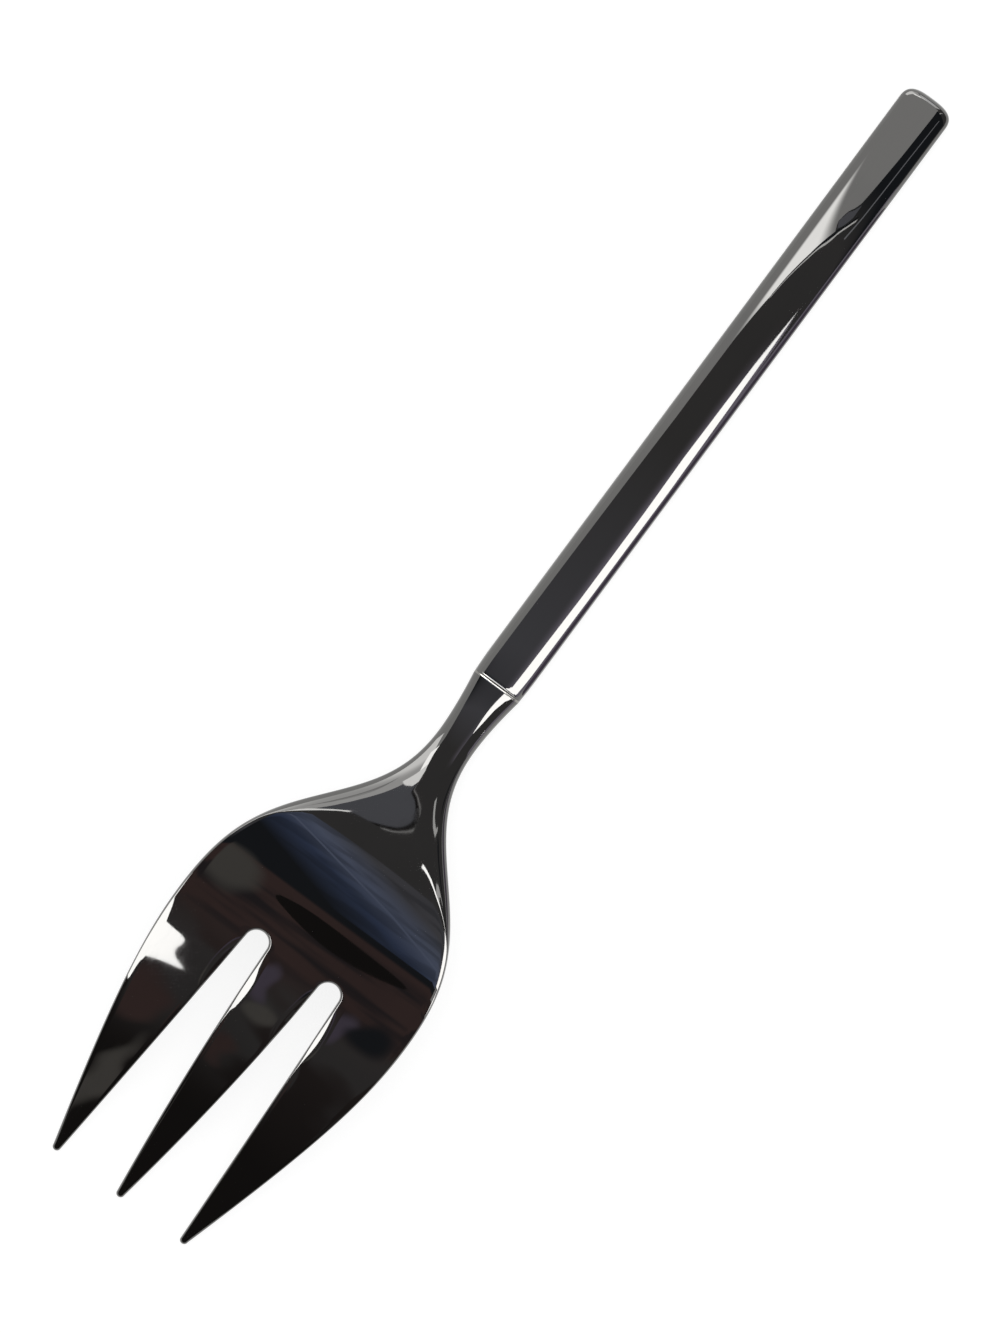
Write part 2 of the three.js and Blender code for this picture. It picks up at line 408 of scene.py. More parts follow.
@dataclass(frozen=True)
class PolishedSteel:
    """Mirror-polished steel with a dark base colour that dims all it mirrors, faintly uneven from hand
    polishing, with wiping marks.
    """

    bright: tuple = (0.143, 0.141, 0.137)
    dull: tuple = (0.128, 0.127, 0.125)
    mirror: float = 0.025
    smudge_scale: float = 38.0
    smudge_span: tuple = (0.5, 0.78)
    smudge_share: float = 0.8
    smudge_roughness: float = 0.03
    wipe_scale: float = 900.0
    wipe_draw: tuple = (0.06, 1.0, 1.0)
    wipe_span: tuple = (0.52, 0.75)
    wipe_share: float = 0.2
    wipe_roughness: float = 0.02
    wave_scale: float = 62.0
    wave_draw: tuple = (0.7, 1.0, 1.0)
    wave_height: float = 2.2e-5

    def make(self) -> bpy.types.Material:
        """Makes the material.

        Returns:
            A metal whose roughness rises in smudges and along drawn-out wiping marks, and
            whose surface waves very slightly.
        """
        material, sheet = new_material("polished_steel_mirror")
        spot = sheet.object_place()
        smudge = sheet.noise(spot, self.smudge_scale, detail=3.0).stepped(*self.smudge_span)
        wiped = sheet.noise(spot, self.wipe_scale, detail=2.0, draw=self.wipe_draw)
        wipe = wiped.stepped(*self.wipe_span)
        waves = sheet.noise(spot, self.wave_scale, detail=0.6, draw=self.wave_draw)
        dulled = smudge * self.smudge_share + wipe * self.wipe_share
        inputs = {
            "Base Color": sheet.blend(dulled, (*self.bright, 1.0), (*self.dull, 1.0)),
            "Metallic": 1.0,
            "Roughness": self.mirror + smudge * self.smudge_roughness + wipe * self.wipe_roughness,
        }
        sheet.bumped(inputs, waves, self.wave_height)
        return material


@dataclass(frozen=True)
class SilverBraze:
    """Braze that was polished flush with the steel: a little paler and a little softer."""

    pale: tuple = (0.32, 0.31, 0.29)
    dark: tuple = (0.2, 0.196, 0.186)
    flow_scale: float = 420.0
    flow_span: tuple = (0.35, 0.7)
    roughness: float = 0.09
    grain_scale: float = 2600.0
    grain_roughness: float = 0.12
    grain_height: float = 4e-6
    grain_strength: float = 0.6

    def make(self) -> bpy.types.Material:
        """Makes the material.

        Returns:
            A metal with flow marks in its colour, and fine grain in its gloss and height.
        """
        material, sheet = new_material("silver_braze_polished")
        spot = sheet.object_place()
        grain = sheet.noise(spot, self.grain_scale, detail=3.0)
        flow = sheet.noise(spot, self.flow_scale, detail=2.0).stepped(*self.flow_span)
        inputs = {
            "Base Color": sheet.blend(flow, (*self.dark, 1.0), (*self.pale, 1.0)),
            "Metallic": 1.0,
            "Roughness": self.roughness + grain * self.grain_roughness,
        }
        sheet.bumped(inputs, grain, self.grain_height, self.grain_strength)
        return material


@dataclass(frozen=True)
class FillerCement:
    """The pale, sandy cement that beds the tang in the handle."""

    pale: tuple = (0.46, 0.42, 0.35)
    dark: tuple = (0.27, 0.245, 0.205)
    roughness: float = 0.82
    patch_scale: float = 160.0
    patch_span: tuple = (0.3, 0.7)
    patch_share: float = 0.6
    patch_roughness: float = 0.14
    grit_scale: float = 1900.0
    grit_span: tuple = (0.35, 0.65)
    grit_share: float = 0.4
    grit_height: float = 1.2e-4
    grit_strength: float = 0.8

    def make(self) -> bpy.types.Material:
        """Makes the material.

        Returns:
            Matt cement in two tones, with its grains and pores in the bump.
        """
        material, sheet = new_material("filler_cement_sandy")
        spot = sheet.object_place()
        grit = sheet.noise(spot, self.grit_scale, detail=4.0)
        patch = sheet.noise(spot, self.patch_scale, detail=2.0).stepped(*self.patch_span)
        tone = patch * self.patch_share + grit.stepped(*self.grit_span) * self.grit_share
        inputs = {
            "Base Color": sheet.blend(tone, (*self.dark, 1.0), (*self.pale, 1.0)),
            "Roughness": self.roughness + patch * self.patch_roughness,
        }
        sheet.bumped(inputs, grit, self.grit_height, self.grit_strength)
        return material


@dataclass
class Finishes:
    """The fork's finishes, made once and shared by its pieces."""

    steel: bpy.types.Material = field(default_factory=lambda: PolishedSteel().make())
    braze: bpy.types.Material = field(default_factory=lambda: SilverBraze().make())
    cement: bpy.types.Material = field(default_factory=lambda: FillerCement().make())


# Handle


@dataclass
class Handle:
    """The hollow bar handle: two pressed half-shells, the braze in their seam, the filling."""

    length: float = 125.5
    width: float = 9.7
    thickness: float = 5.6
    butt_thickness: float = 4.7
    butt_rounding: float = 3.2
    butt_edge: float = 1.4
    butt_plan_power: float = 3.0
    butt_edge_power: float = 2.0
    mouth_taper: float = 5.0
    mouth_width: float = 9.4
    mouth_edge: float = 0.45
    seam_height: float = 2.5
    seam_gap: float = 0.3
    seam_recess: float = 0.03
    land_depth: float = 0.15
    land_edge: float = 0.04
    land_band: float = 0.035
    land_columns: tuple = (0.17, 0.37)
    back_fullness: float = 2.6
    front_fullness: float = 4.0
    wall: float = 0.8
    butt_rows: int = 30
    butt_crowding: float = 3.0
    straight_rows: int = 60
    taper_rows: int = 12
    edge_rows: int = 8
    columns: int = 72

    @staticmethod
    def butt_share(distance: np.ndarray, length: float, power: float) -> np.ndarray:
        """Share of the full section at a distance from the butt, rounding off in a length."""
        near = 1.0 - np.clip(distance / length, 0.0, 1.0)
        return (1.0 - near**power) ** (1.0 / power)

    def half_width(self, x: np.ndarray, inset: float) -> np.ndarray:
        """Half-width in plan: even, drawn in at the mouth and rounded off at the butt.

        Args:
            x: distance from the butt.
            inset: depth below the outer surface.

        Returns:
            The half-width at each place.
        """
        near_mouth = np.clip(x - (self.length - self.mouth_taper), 0.0, None) / self.mouth_taper
        even = (self.width - (self.width - self.mouth_width) * near_mouth**2) / 2
        return (even - inset) * self.butt_share(x - inset, self.butt_rounding, self.butt_plan_power)

    def full_rise(self, x: np.ndarray, half: Half, inset: float) -> np.ndarray:
        """Height of a half's crest over the seam, before it rounds off at the butt.

        Args:
            x: distance from the butt.
            half: back or front.
            inset: depth below the outer surface.

        Returns:
            The height, which is even on the front and falls off towards the butt on the back.
        """
        if half is Half.FRONT:
            return np.full_like(x, self.seam_height + self.land_depth - inset)
        remaining = 1.0 - x / self.length
        back = self.thickness - (self.thickness - self.butt_thickness) * remaining**2
        return back - inset - self.seam_height

    def rows_along(self, inset: float, first: float, end: float) -> np.ndarray:
        """Places along the handle, close together at the butt.

        Args:
            inset: depth below the outer surface.
            first: the first place's distance from the butt's surface at that depth.
            end: the last place.

        Returns:
            x of the places.
        """
        spread = np.linspace(0.0, 1.0, self.butt_rows) ** self.butt_crowding
        butt = inset + first + (self.butt_rounding - first) * spread
        taper = self.length - self.mouth_taper
        straight = np.linspace(inset + self.butt_rounding, taper, self.straight_rows)
        drawn_in = np.linspace(taper, end, self.taper_rows)
        return np.concatenate([butt, straight[1:], drawn_in[1:]])

    def stations(self, half: Half, inset: float) -> np.ndarray:
        """Places of the sections, from where the half first stands clear of the seam.

        Args:
            half: back or front.
            inset: depth below the outer surface.

        Returns:
            x in rows, close together at the butt and at the mouth.
        """
        start = np.array([inset])
        clear = self.seam_gap / 2 / self.full_rise(start, half, inset)[0]
        first = self.butt_edge * (1.0 - math.sqrt(1.0 - clear**2))
        rows = self.rows_along(inset, first, self.length - self.mouth_edge)
        turn = np.linspace(0.0, QUARTER, self.edge_rows)
        edge = self.length - self.mouth_edge * (1.0 - np.sin(turn))
        return np.concatenate([rows, edge[1:]])[:, None]

    def sweep(self, half: Half) -> np.ndarray:
        """Shares of the half turn from rim to rim.

        Args:
            half: back or front.

        Returns:
            One share for each column, closer together at the borders of the front's flat land.
        """
        even = np.linspace(0.0, 1.0, self.columns + 1)
        if half is Half.BACK:
            return even
        crest = self.seam_height + self.land_depth
        land = math.asin(self.seam_height / crest) / math.pi
        marks = np.array([0.0, land - self.land_band, land + self.land_band, 0.5])
        shares = np.array([0.0, *self.land_columns, 0.5])
        both_shares = np.concatenate([shares, 1.0 - shares[-2::-1]])
        return np.interp(even, both_shares, np.concatenate([marks, 1.0 - marks[-2::-1]]))

    def arch(self, half: Half, inset: float) -> np.ndarray:
        """One skin of a half-shell, from rim to rim.

        A section is y = half-width * cos(a) ** (2 / fullness) and z = seam + rise * sin(a),
        with the angle a running from rim to rim. The back's mouth edge is rounded down, and
        the front is ground flat where it would pass below the land.

        Args:
            half: back or front.
            inset: depth below the outer surface.

        Returns:
            Points in rows along the handle and columns round it.
        """
        x = self.stations(half, inset)
        rim = self.seam_gap / 2
        rounded_off = self.butt_share(x - inset, self.butt_edge, self.butt_edge_power)
        rise = self.full_rise(x, half, inset) * rounded_off
        if half is Half.BACK and inset == 0.0:
            past = np.clip(x - (self.length - self.mouth_edge), 0.0, self.mouth_edge)
            rise = rise - self.mouth_edge + np.sqrt(self.mouth_edge**2 - past**2)
        low = np.arcsin(np.clip(rim / rise, 0.0, 1.0))
        low[0] = QUARTER
        angle = low + (math.pi - 2.0 * low) * self.sweep(half)
        fullness = self.back_fullness if half is Half.BACK else self.front_fullness
        y = self.half_width(x, inset) * signed_power(np.cos(angle), 2.0 / fullness)
        above = np.maximum(rise * np.sin(angle), rim)
        above[0] = rim
        z = self.seam_height + half.value * above
        if half is Half.FRONT:
            over = z - inset
            z = inset + (over + np.sqrt(over**2 + self.land_edge**2)) / 2
        return np.stack([np.broadcast_to(x, y.shape), y, z], axis=-1)

    def shell(self, half: Half) -> Surface:
        """A half-shell of the handle.

        Args:
            half: back or front.

        Returns:
            Its outer skin, its seam rims, its inner skin and its mouth's face.
        """
        outer = self.arch(half, 0.0)
        inner = self.arch(half, self.wall)
        ring = np.concatenate([outer, inner[:, ::-1]], axis=1)
        mouth = np.stack([outer[-1], inner[-1]])
        return Surface.grid(ring, closed=True) + Surface.grid(mouth)

    def outline(self, inset: float) -> np.ndarray:
        """The handle's plan outline at the seam.

        Args:
            inset: depth below the outer surface.

        Returns:
            x and y from the mouth round the butt and back to the mouth.
        """
        x = self.rows_along(inset, 0.0, self.length)
        side = np.stack([x, self.half_width(x, inset)], axis=-1)
        return np.concatenate([side[:0:-1], side * (1.0, -1.0)])

    def seam(self) -> Surface:
        """The braze in the seam, a flat bar carried round the outline.

        Returns:
            The bar with its ends closed, its outer side just below the skins.
        """
        outer = self.outline(self.seam_recess)
        inner = self.outline(self.wall)
        low = self.seam_height - self.seam_gap / 2
        high = self.seam_height + self.seam_gap / 2
        sides = [(outer, low), (outer, high), (inner, high), (inner, low)]
        bar = np.stack([np.insert(path, 2, z, axis=1) for path, z in sides], axis=1)
        ends = bar[[0, -1]].reshape(2, 2, 2, 3)
        ends[:, 1] = ends[:, 1, ::-1]
        return Surface.grid(bar, closed=True) + Surface.grid(ends[0]) + Surface.grid(ends[1])

    def build(self, nodes: dict[str, bpy.types.Object], finishes: Finishes) -> None:
        """Makes the handle's pieces and dresses them.

        Args:
            nodes: the frame's solids by name.
            finishes: the fork's finishes.
        """
        back = self.shell(Half.BACK).as_object("handle_back_half")
        place(back, "handle_back_shell", finishes.steel)
        front = self.shell(Half.FRONT).as_object("handle_front_half")
        place(front, "handle_front_shell", finishes.steel)
        seam = self.seam().as_object("handle_seam_line")
        place(seam, "seam_braze", finishes.braze)
        filler = nodes["handle_filler"]
        filler.data.materials.clear()
        filler.data.materials.append(finishes.cement)
        LOG.info("handle_filler: the solid itself, in cement")


# Head


@dataclass
class Head:
    """The forged head: the tang in the handle, the neck, the arched palm and three tines."""

    neck_start: float = 125.9
    neck_thickness: float = 5.1
    seam_height: float = 2.5
    shoulder_width: float = 9.4
    waist: float = 137.0
    waist_width: float = 7.2
    waist_taper: float = 1.7
    widest: float = 185.0
    width: float = 47.4
    flare_bias: float = 0.64
    tine_bend: float = 21.6
    crest: float = 177.0
    crest_height: float = 19.0
    crest_radius: float = 62.0
    tip_slope: float = 24.0
    palm_thickness: float = 2.4
    palm_crown: float = 0.9
    rim: float = 0.45
    tine_rim: float = 0.25
    rim_start: float = 168.0
    root_rim: float = 0.95
    root_clear: float = 0.2
    root_reach: float = 17.0
    bevel_drop: float = 0.38
    bevel_lip: float = 0.2
    back_fullness: float = 2.6
    front_fullness: float = 4.0
    rim_fullness: float = 2.0
    tine_length: float = 52.3
    tip_pitch: float = 13.6
    tip_width: float = 1.5
    tip_thickness: float = 1.4
    slot_pitch: float = 15.1
    slot_radius: float = 2.1
    tine_bulge: float = 0.55
    tang_length: float = 62.0
    tang_width: float = 4.2
    tang_thickness: float = 1.4
    tang_edge: float = 0.3
    tang_notches: int = 3
    notch_depth: float = 0.7
    notch_edge: float = 0.05
    mouth: float = 125.5
    edge_share: float = 0.42
    rim_steps: int = 9
    strip_steps: int = 10
    slot_steps: int = 12
    palm_rows: int = 84
    tine_rows: int = 64
    tip_rows: int = 12
    palm_crowding: float = 1.15
    tine_crowding: float = 1.6
    bow_reach: float = 6.0

    def __post_init__(self) -> None:
        """Works out the places that follow from the sizes."""
        self.tip_radius = self.tip_width / 2
        self.tip_centre = FORK_LENGTH - self.tip_radius
        self.slot_centre = FORK_LENGTH - self.tine_length + self.slot_radius
        self.slot_middle = self.slot_pitch / 2
        self.corner = self.slot_radius * math.sqrt(0.5)
        self.root = self.slot_centre - self.corner

    def half_width(self, x: np.ndarray) -> np.ndarray:
        """Half-width in plan: the neck's taper, the flare, then the tines' outer edge.

        The taper is a power, the flare a smooth ratio of squares, and the outer edge a hyperbola.

        Args:
            x: distance from the butt.

        Returns:
            The half-width at each place.
        """
        waist, palm = self.waist_width / 2, self.width / 2
        tapering = np.clip((x - self.neck_start) / (self.waist - self.neck_start), 0.0, 1.0)
        neck = waist + (self.shoulder_width / 2 - waist) * (1.0 - tapering) ** self.waist_taper
        along = np.clip((x - self.waist) / (self.widest - self.waist), 0.0, 1.0)
        flare = lerp(waist, palm, along**2 / (along**2 + self.flare_bias * (1.0 - along) ** 2))
        bend = self.tine_bend
        reach = math.hypot(self.tip_centre - self.widest, bend) - bend
        past = np.hypot(np.clip(x - self.widest, 0.0, None), bend) - bend
        tine = palm - (palm - self.tip_pitch - self.tip_radius) * past / reach
        return np.where(x < self.waist, neck, np.where(x < self.widest, flare, tine))

    def back_line(self, x: np.ndarray) -> np.ndarray:
        """Height of the back in side view: level at the mouth, up to the crest, down to the tips.

        Args:
            x: distance from the butt.

        Returns:
            The height over the table at each place.
        """
        mouth = CurveEnd(self.neck_start, self.neck_thickness)
        crest = CurveEnd(self.crest, self.crest_height, curvature=-1.0 / self.crest_radius)
        tip = CurveEnd(FORK_LENGTH, self.tip_thickness, slope=-math.tan(math.radians(self.tip_slope)))
        return np.where(x < self.crest, mouth.stretch_to(crest, x), crest.stretch_to(tip, x))

    def thickness(self, x: np.ndarray) -> np.ndarray:
        """Thickness: full at the mouth, thinned to the palm and again towards the tips.

        Args:
            x: distance from the butt.

        Returns:
            The thickness at each place, which falls by two smooth steps.
        """
        thinned = smoothstep(x, self.neck_start, self.crest)
        forged = lerp(self.neck_thickness, self.palm_thickness, thinned)
        drawn = smoothstep(x, self.crest, FORK_LENGTH) * (self.palm_thickness - self.tip_thickness)
        return forged - drawn

    def middle_line(self, x: np.ndarray) -> np.ndarray:
        """Height of the rim: at the handle's seam at the mouth, then halfway through the plate."""
        halfway = self.back_line(x) - self.thickness(x) / 2
        return lerp(self.seam_height, halfway, smoothstep(x, self.neck_start, self.waist))

    def plain_rim(self, x: np.ndarray) -> np.ndarray:
        """Width of a rim's rounding: finer along the tines than on the palm."""
        return lerp(self.rim, self.tine_rim, smoothstep(x, self.root, self.root + self.root_reach))

    def rounding(self, x: np.ndarray) -> np.ndarray:
        """Width of the edge's rounding: the whole half-width at the neck, a rim at the palm."""
        return lerp(self.half_width(x), self.plain_rim(x), smoothstep(x, self.waist, self.rim_start))

    def slot_rim(self, x: np.ndarray) -> np.ndarray:
        """Width of the rounding along a slot: a rim, wider for a stretch past its root.

        Args:
            x: distance from the butt.

        Returns:
            The width at each place, which rises and falls by smooth steps.
        """
        start, end = self.root + self.root_clear, self.root + self.root_reach
        middle = (start + end) / 2
        wider = smoothstep(x, start, middle) * (1.0 - smoothstep(x, middle, end))
        return lerp(self.plain_rim(x), self.root_rim, wider)

    def slot_share(self, clear: np.ndarray, width: np.ndarray) -> np.ndarray:
        """Share of the half-thickness along a slot: a round rim, and a flat bevel where it is wider.

        The bevel takes off drop * (1 - distance / width), and its lip is rounded as a rim is.

        Args:
            clear: distance from the slot, in plan.
            width: width of the rounding or bevel.

        Returns:
            The share, from 0 on the slot's edge to 1 beyond the width.
        """
        wider = np.clip((width - self.rim) / (self.root_rim - self.rim), 0.0, 1.0)
        taken = self.bevel_drop * wider * (1.0 - np.clip(clear / width, 0.0, 1.0))
        lip = np.minimum(lerp(self.rim, self.bevel_lip, wider), width)
        return (1.0 - taken) * rounded(clear, lip, self.rim_fullness)

    def root_slant(self, x: np.ndarray) -> np.ndarray:
        """Distance along y from a slot's round root, for each distance square to it."""
        before = np.clip(self.slot_centre - x, 0.0, self.corner)
        return self.slot_radius / np.sqrt(self.slot_radius**2 - before**2)

    def heights(self, x: np.ndarray, y: np.ndarray, half: Half, share: np.ndarray) -> np.ndarray:
        """Height of the back or the front over a place in plan.

        It is the rim's height, less the palm's crown times the square of the share of the
        half-width, plus or less the half-thickness times the rounding's share.

        Args:
            x: distance from the butt.
            y: distance from the middle.
            half: back or front.
            share: share of the half-thickness that the edge's rounding leaves.

        Returns:
            z at each place.
        """
        middle = self.middle_line(x)
        back = self.back_line(x)
        face = back if half is Half.BACK else back - self.thickness(x)
        arched = smoothstep(x, self.waist, self.widest) * (1.0 - smoothstep(x, self.widest, FORK_LENGTH))
        crown = self.palm_crown * arched * (y / self.half_width(x)) ** 2
        return middle - crown + (face - middle) * share

    def fullness(self, x: np.ndarray, half: Half) -> np.ndarray:
        """Power of the edge's rounding: the handle's at the mouth, a round rim's at the palm."""
        mouth = self.back_fullness if half is Half.BACK else self.front_fullness
        return lerp(mouth, self.rim_fullness, smoothstep(x, self.neck_start, self.rim_start))

    def outer_share(self, x: np.ndarray, y: np.ndarray, half: Half) -> np.ndarray:
        """Share of the half-thickness that the rounding of the outer edge leaves.

        Args:
            x: distance from the butt.
            y: distance from the middle.
            half: back or front.

        Returns:
            The share, worked out from the distance square to the outline in plan.
        """
        slope = (self.half_width(x + SLOPE_STEP) - self.half_width(x - SLOPE_STEP)) / (2 * SLOPE_STEP)
        clear = (self.half_width(x) - np.abs(y)) / np.hypot(1.0, slope)
        return rounded(clear, self.rounding(x), self.fullness(x, half))

    def across(
        self, outer: np.ndarray, inner: np.ndarray, outer_edge: np.ndarray, inner_edge: np.ndarray
    ) -> np.ndarray:
        """Columns from an outer to an inner border, closer together within the edges.

        Args:
            outer: y of the outer border, one for each row.
            inner: y of the inner border.
            outer_edge: width of the outer edge's rounding.
            inner_edge: width of the inner edge's rounding.

        Returns:
            y in rows and columns.
        """
        width = outer - inner
        near = np.minimum(outer_edge, self.edge_share * width)
        far = np.minimum(inner_edge, self.edge_share * width)
        turn = 1.0 - np.cos(np.linspace(0.0, QUARTER, self.rim_steps + 1))
        even = np.linspace(0.0, 1.0, self.strip_steps + 1)[1:-1]
        steps = [near * turn, near + (width - near - far) * even, width - far * turn[::-1]]
        return outer - np.hstack(steps)

    def slot_distance(self, x: np.ndarray, y: np.ndarray) -> np.ndarray:
        """Distance in plan from the round root of the nearer slot."""
        return np.hypot(x - self.slot_centre, np.abs(y) - self.slot_middle) - self.slot_radius

    def palm_plan(self) -> tuple[np.ndarray, np.ndarray]:
        """Places of the palm's and neck's grid in plan, from the mouth to the slots' roots.

        Columns keep their share of the half-width in five strips: an outer tine's, a slot's,
        the middle tine's, the other slot's and the other tine's. Rows run straight across,
        and bow towards the slots' strips, where the last row lies on the roots' arcs.

        Returns:
            x and y in rows and columns.
        """
        turn = 1.0 - np.cos(np.linspace(0.0, QUARTER, self.rim_steps))
        span = self.root - self.neck_start
        spread = np.linspace(0.0, 1.0, self.palm_rows)[1:] ** self.palm_crowding
        rim = self.rim * self.slot_radius / self.corner
        offset = np.concatenate([rim * turn, rim + (span - rim) * spread])[::-1, None]
        x = self.root - offset
        half = self.half_width(x)
        scale = half / self.half_width(np.array(self.root))
        angle = np.linspace(math.pi / 4, -math.pi / 4, self.slot_steps + 1)
        slot = scale * (self.slot_middle + self.slot_radius * np.sin(angle))
        edge = self.slot_rim(x) * self.root_slant(x)
        outer = self.across(half, slot[:, :1], self.rounding(x), edge)
        inner_border = slot[:, -1:]
        middle = self.across(inner_border, -inner_border, edge, edge)
        y = np.hstack([outer, slot[:, 1:], middle[:, 1:], -slot[:, -2::-1], -outer[:, -2::-1]])
        bow = self.slot_radius * np.cos(angle) - self.corner
        flat_outer = np.zeros(outer.shape[1] - 1)
        flat_middle = np.zeros(middle.shape[1] - 2)
        bows = np.concatenate([flat_outer, bow, flat_middle, bow, flat_outer])
        weight = np.clip(1.0 - offset / self.bow_reach, 0.0, 1.0) ** 2
        return x - weight * bows, y

    def palm_share(self, x: np.ndarray, y: np.ndarray, half: Half) -> np.ndarray:
        """Share of the half-thickness on the palm, after the outer rim's and the roots' rounding."""
        root = self.slot_share(self.slot_distance(x, y), self.slot_rim(x))
        return np.minimum(self.outer_share(x, y, half), root)

    def tang_rows(self) -> tuple[np.ndarray, np.ndarray]:
        """Rows of the tang from its end to the mouth, notches included.

        Returns:
            x and the half-width of each row.
        """
        start = self.mouth - self.tang_length
        pitch = self.tang_length / (2 * self.tang_notches + 2)
        notch = start + pitch * (2 * np.arange(self.tang_notches) + 1)
        places = notch[:, None] + np.array([0.0, self.notch_edge, pitch - self.notch_edge, pitch])
        x = np.concatenate([[start], places.ravel(), [self.neck_start]])
        depth = np.tile([0.0, 1.0, 1.0, 0.0], self.tang_notches) * self.notch_depth
        half = self.tang_width / 2 - np.concatenate([[0.0], depth, [0.0]])
        return x[:, None], half[:, None]

    def tang(self, columns: np.ndarray, half: Half) -> np.ndarray:
        """One face of the tang, closed at its end.

        Args:
            columns: share of the half-width at each column.
            half: back or front.

        Returns:
            Points in rows and columns, z being the seam plus or less the rounded half-thickness.
        """
        x, width = self.tang_rows()
        y = width * columns
        share = rounded(width - np.abs(y), self.tang_edge, self.rim_fullness)
        z = self.seam_height + half.value * self.tang_thickness / 2 * share
        face = np.stack([np.broadcast_to(x, y.shape), y, z], axis=-1)
        end = face[:1].copy()
        end[..., 2] = self.seam_height
        return np.concatenate([end, face])

    def tine_edges(self, x: np.ndarray, middle: bool) -> tuple[np.ndarray, np.ndarray]:
        """Borders of a tine in plan: round the slot's root, along its flank, round its tip.

        Args:
            x: places of the rows.
            middle: whether it is the middle tine or an outer one.

        Returns:
            y of the outer and of the inner border.
        """
        before = np.clip(self.slot_centre - x, 0.0, self.slot_radius)
        root = np.sqrt(self.slot_radius**2 - before**2)
        past = np.clip(x - self.tip_centre, 0.0, self.tip_radius)
        tip = np.sqrt(self.tip_radius**2 - past**2)
        along = np.clip((x - self.slot_centre) / (self.tip_centre - self.slot_centre), 0.0, 1.0)
        beyond = x > self.tip_centre
        if middle:
            swell = self.slot_middle - self.slot_radius
            control = (self.tip_radius + swell) / 2 + 2 * self.tine_bulge
            curve = (1 - along) ** 2 * swell + 2 * along * (1 - along) * control
            flank = curve + along**2 * self.tip_radius + (self.slot_radius - root)
            edge = np.where(beyond, tip, flank)
            return edge, -edge
        start = self.slot_middle + self.slot_radius
        flank = lerp(start, self.tip_pitch - self.tip_radius, along) - (self.slot_radius - root)
        outer = np.where(beyond, self.tip_pitch + tip, self.half_width(x))
        return outer, np.where(beyond, self.tip_pitch - tip, flank)

    def tine(self, middle: bool, half: Half) -> np.ndarray:
        """One face of a tine, from the slots' roots to the pole of its round tip.

        Args:
            middle: whether it is the middle tine or the outer one at positive y.
            half: back or front.

        Returns:
            Points in rows and columns.
        """
        spread = np.linspace(0.0, 1.0, self.tine_rows) ** self.tine_crowding
        flank_rows = self.root + (self.tip_centre - self.root) * spread
        turn = np.linspace(0.0, QUARTER, self.tip_rows)[1:]
        x = np.concatenate([flank_rows, self.tip_centre + self.tip_radius * np.sin(turn)])[:, None]
        outer, inner = self.tine_edges(x, middle)
        slot_edge = np.minimum(self.slot_rim(x), self.edge_share * (outer - inner))
        slanted = slot_edge * self.root_slant(x)
        y = self.across(outer, inner, slanted if middle else self.rounding(x), slanted)
        flank = y - inner
        if middle:
            flank = np.minimum(flank, outer - y)
        slope = np.gradient(inner[:, 0], x[:, 0])[:, None]
        clear = np.where(x < self.slot_centre, self.slot_distance(x, y), flank / np.hypot(1.0, slope))
        centre = 0.0 if middle else self.tip_pitch
        tip = self.tip_radius - np.hypot(x - self.tip_centre, y - centre)
        clear = np.where(x > self.tip_centre, tip, clear)
        share = self.slot_share(clear, np.where(x > self.tip_centre, self.tine_rim, slot_edge))
        if not middle:
            before_tip = np.where(x > self.tip_centre, 1.0, self.outer_share(x, y, half))
            share = np.minimum(share, before_tip)
        x = np.broadcast_to(x, y.shape)
        return np.stack([x, y, self.heights(x, y, half, share)], axis=-1)

    def sheet(self, half: Half) -> Surface:
        """One side of the whole head, out to its edges.

        Args:
            half: back or front.

        Returns:
            The tang, neck and palm as one grid, and a grid for each tine.
        """
        x, y = self.palm_plan()
        palm = np.stack([x, y, self.heights(x, y, half, self.palm_share(x, y, half))], axis=-1)
        body = np.concatenate([self.tang(y[0] / y[0, 0], half), palm])
        outer = self.tine(False, half)
        other = outer * (1.0, -1.0, 1.0)
        tines = Surface.grid(outer) + Surface.grid(other) + Surface.grid(self.tine(True, half))
        return Surface.grid(body) + tines

    def build(self, finishes: Finishes) -> None:
        """Makes the head of its back and front sheets, welded along their edges."""
        sheets = self.sheet(Half.BACK) + self.sheet(Half.FRONT)
        place(sheets.as_object("forged_head"), "fork_head", finishes.steel)


# Mouth


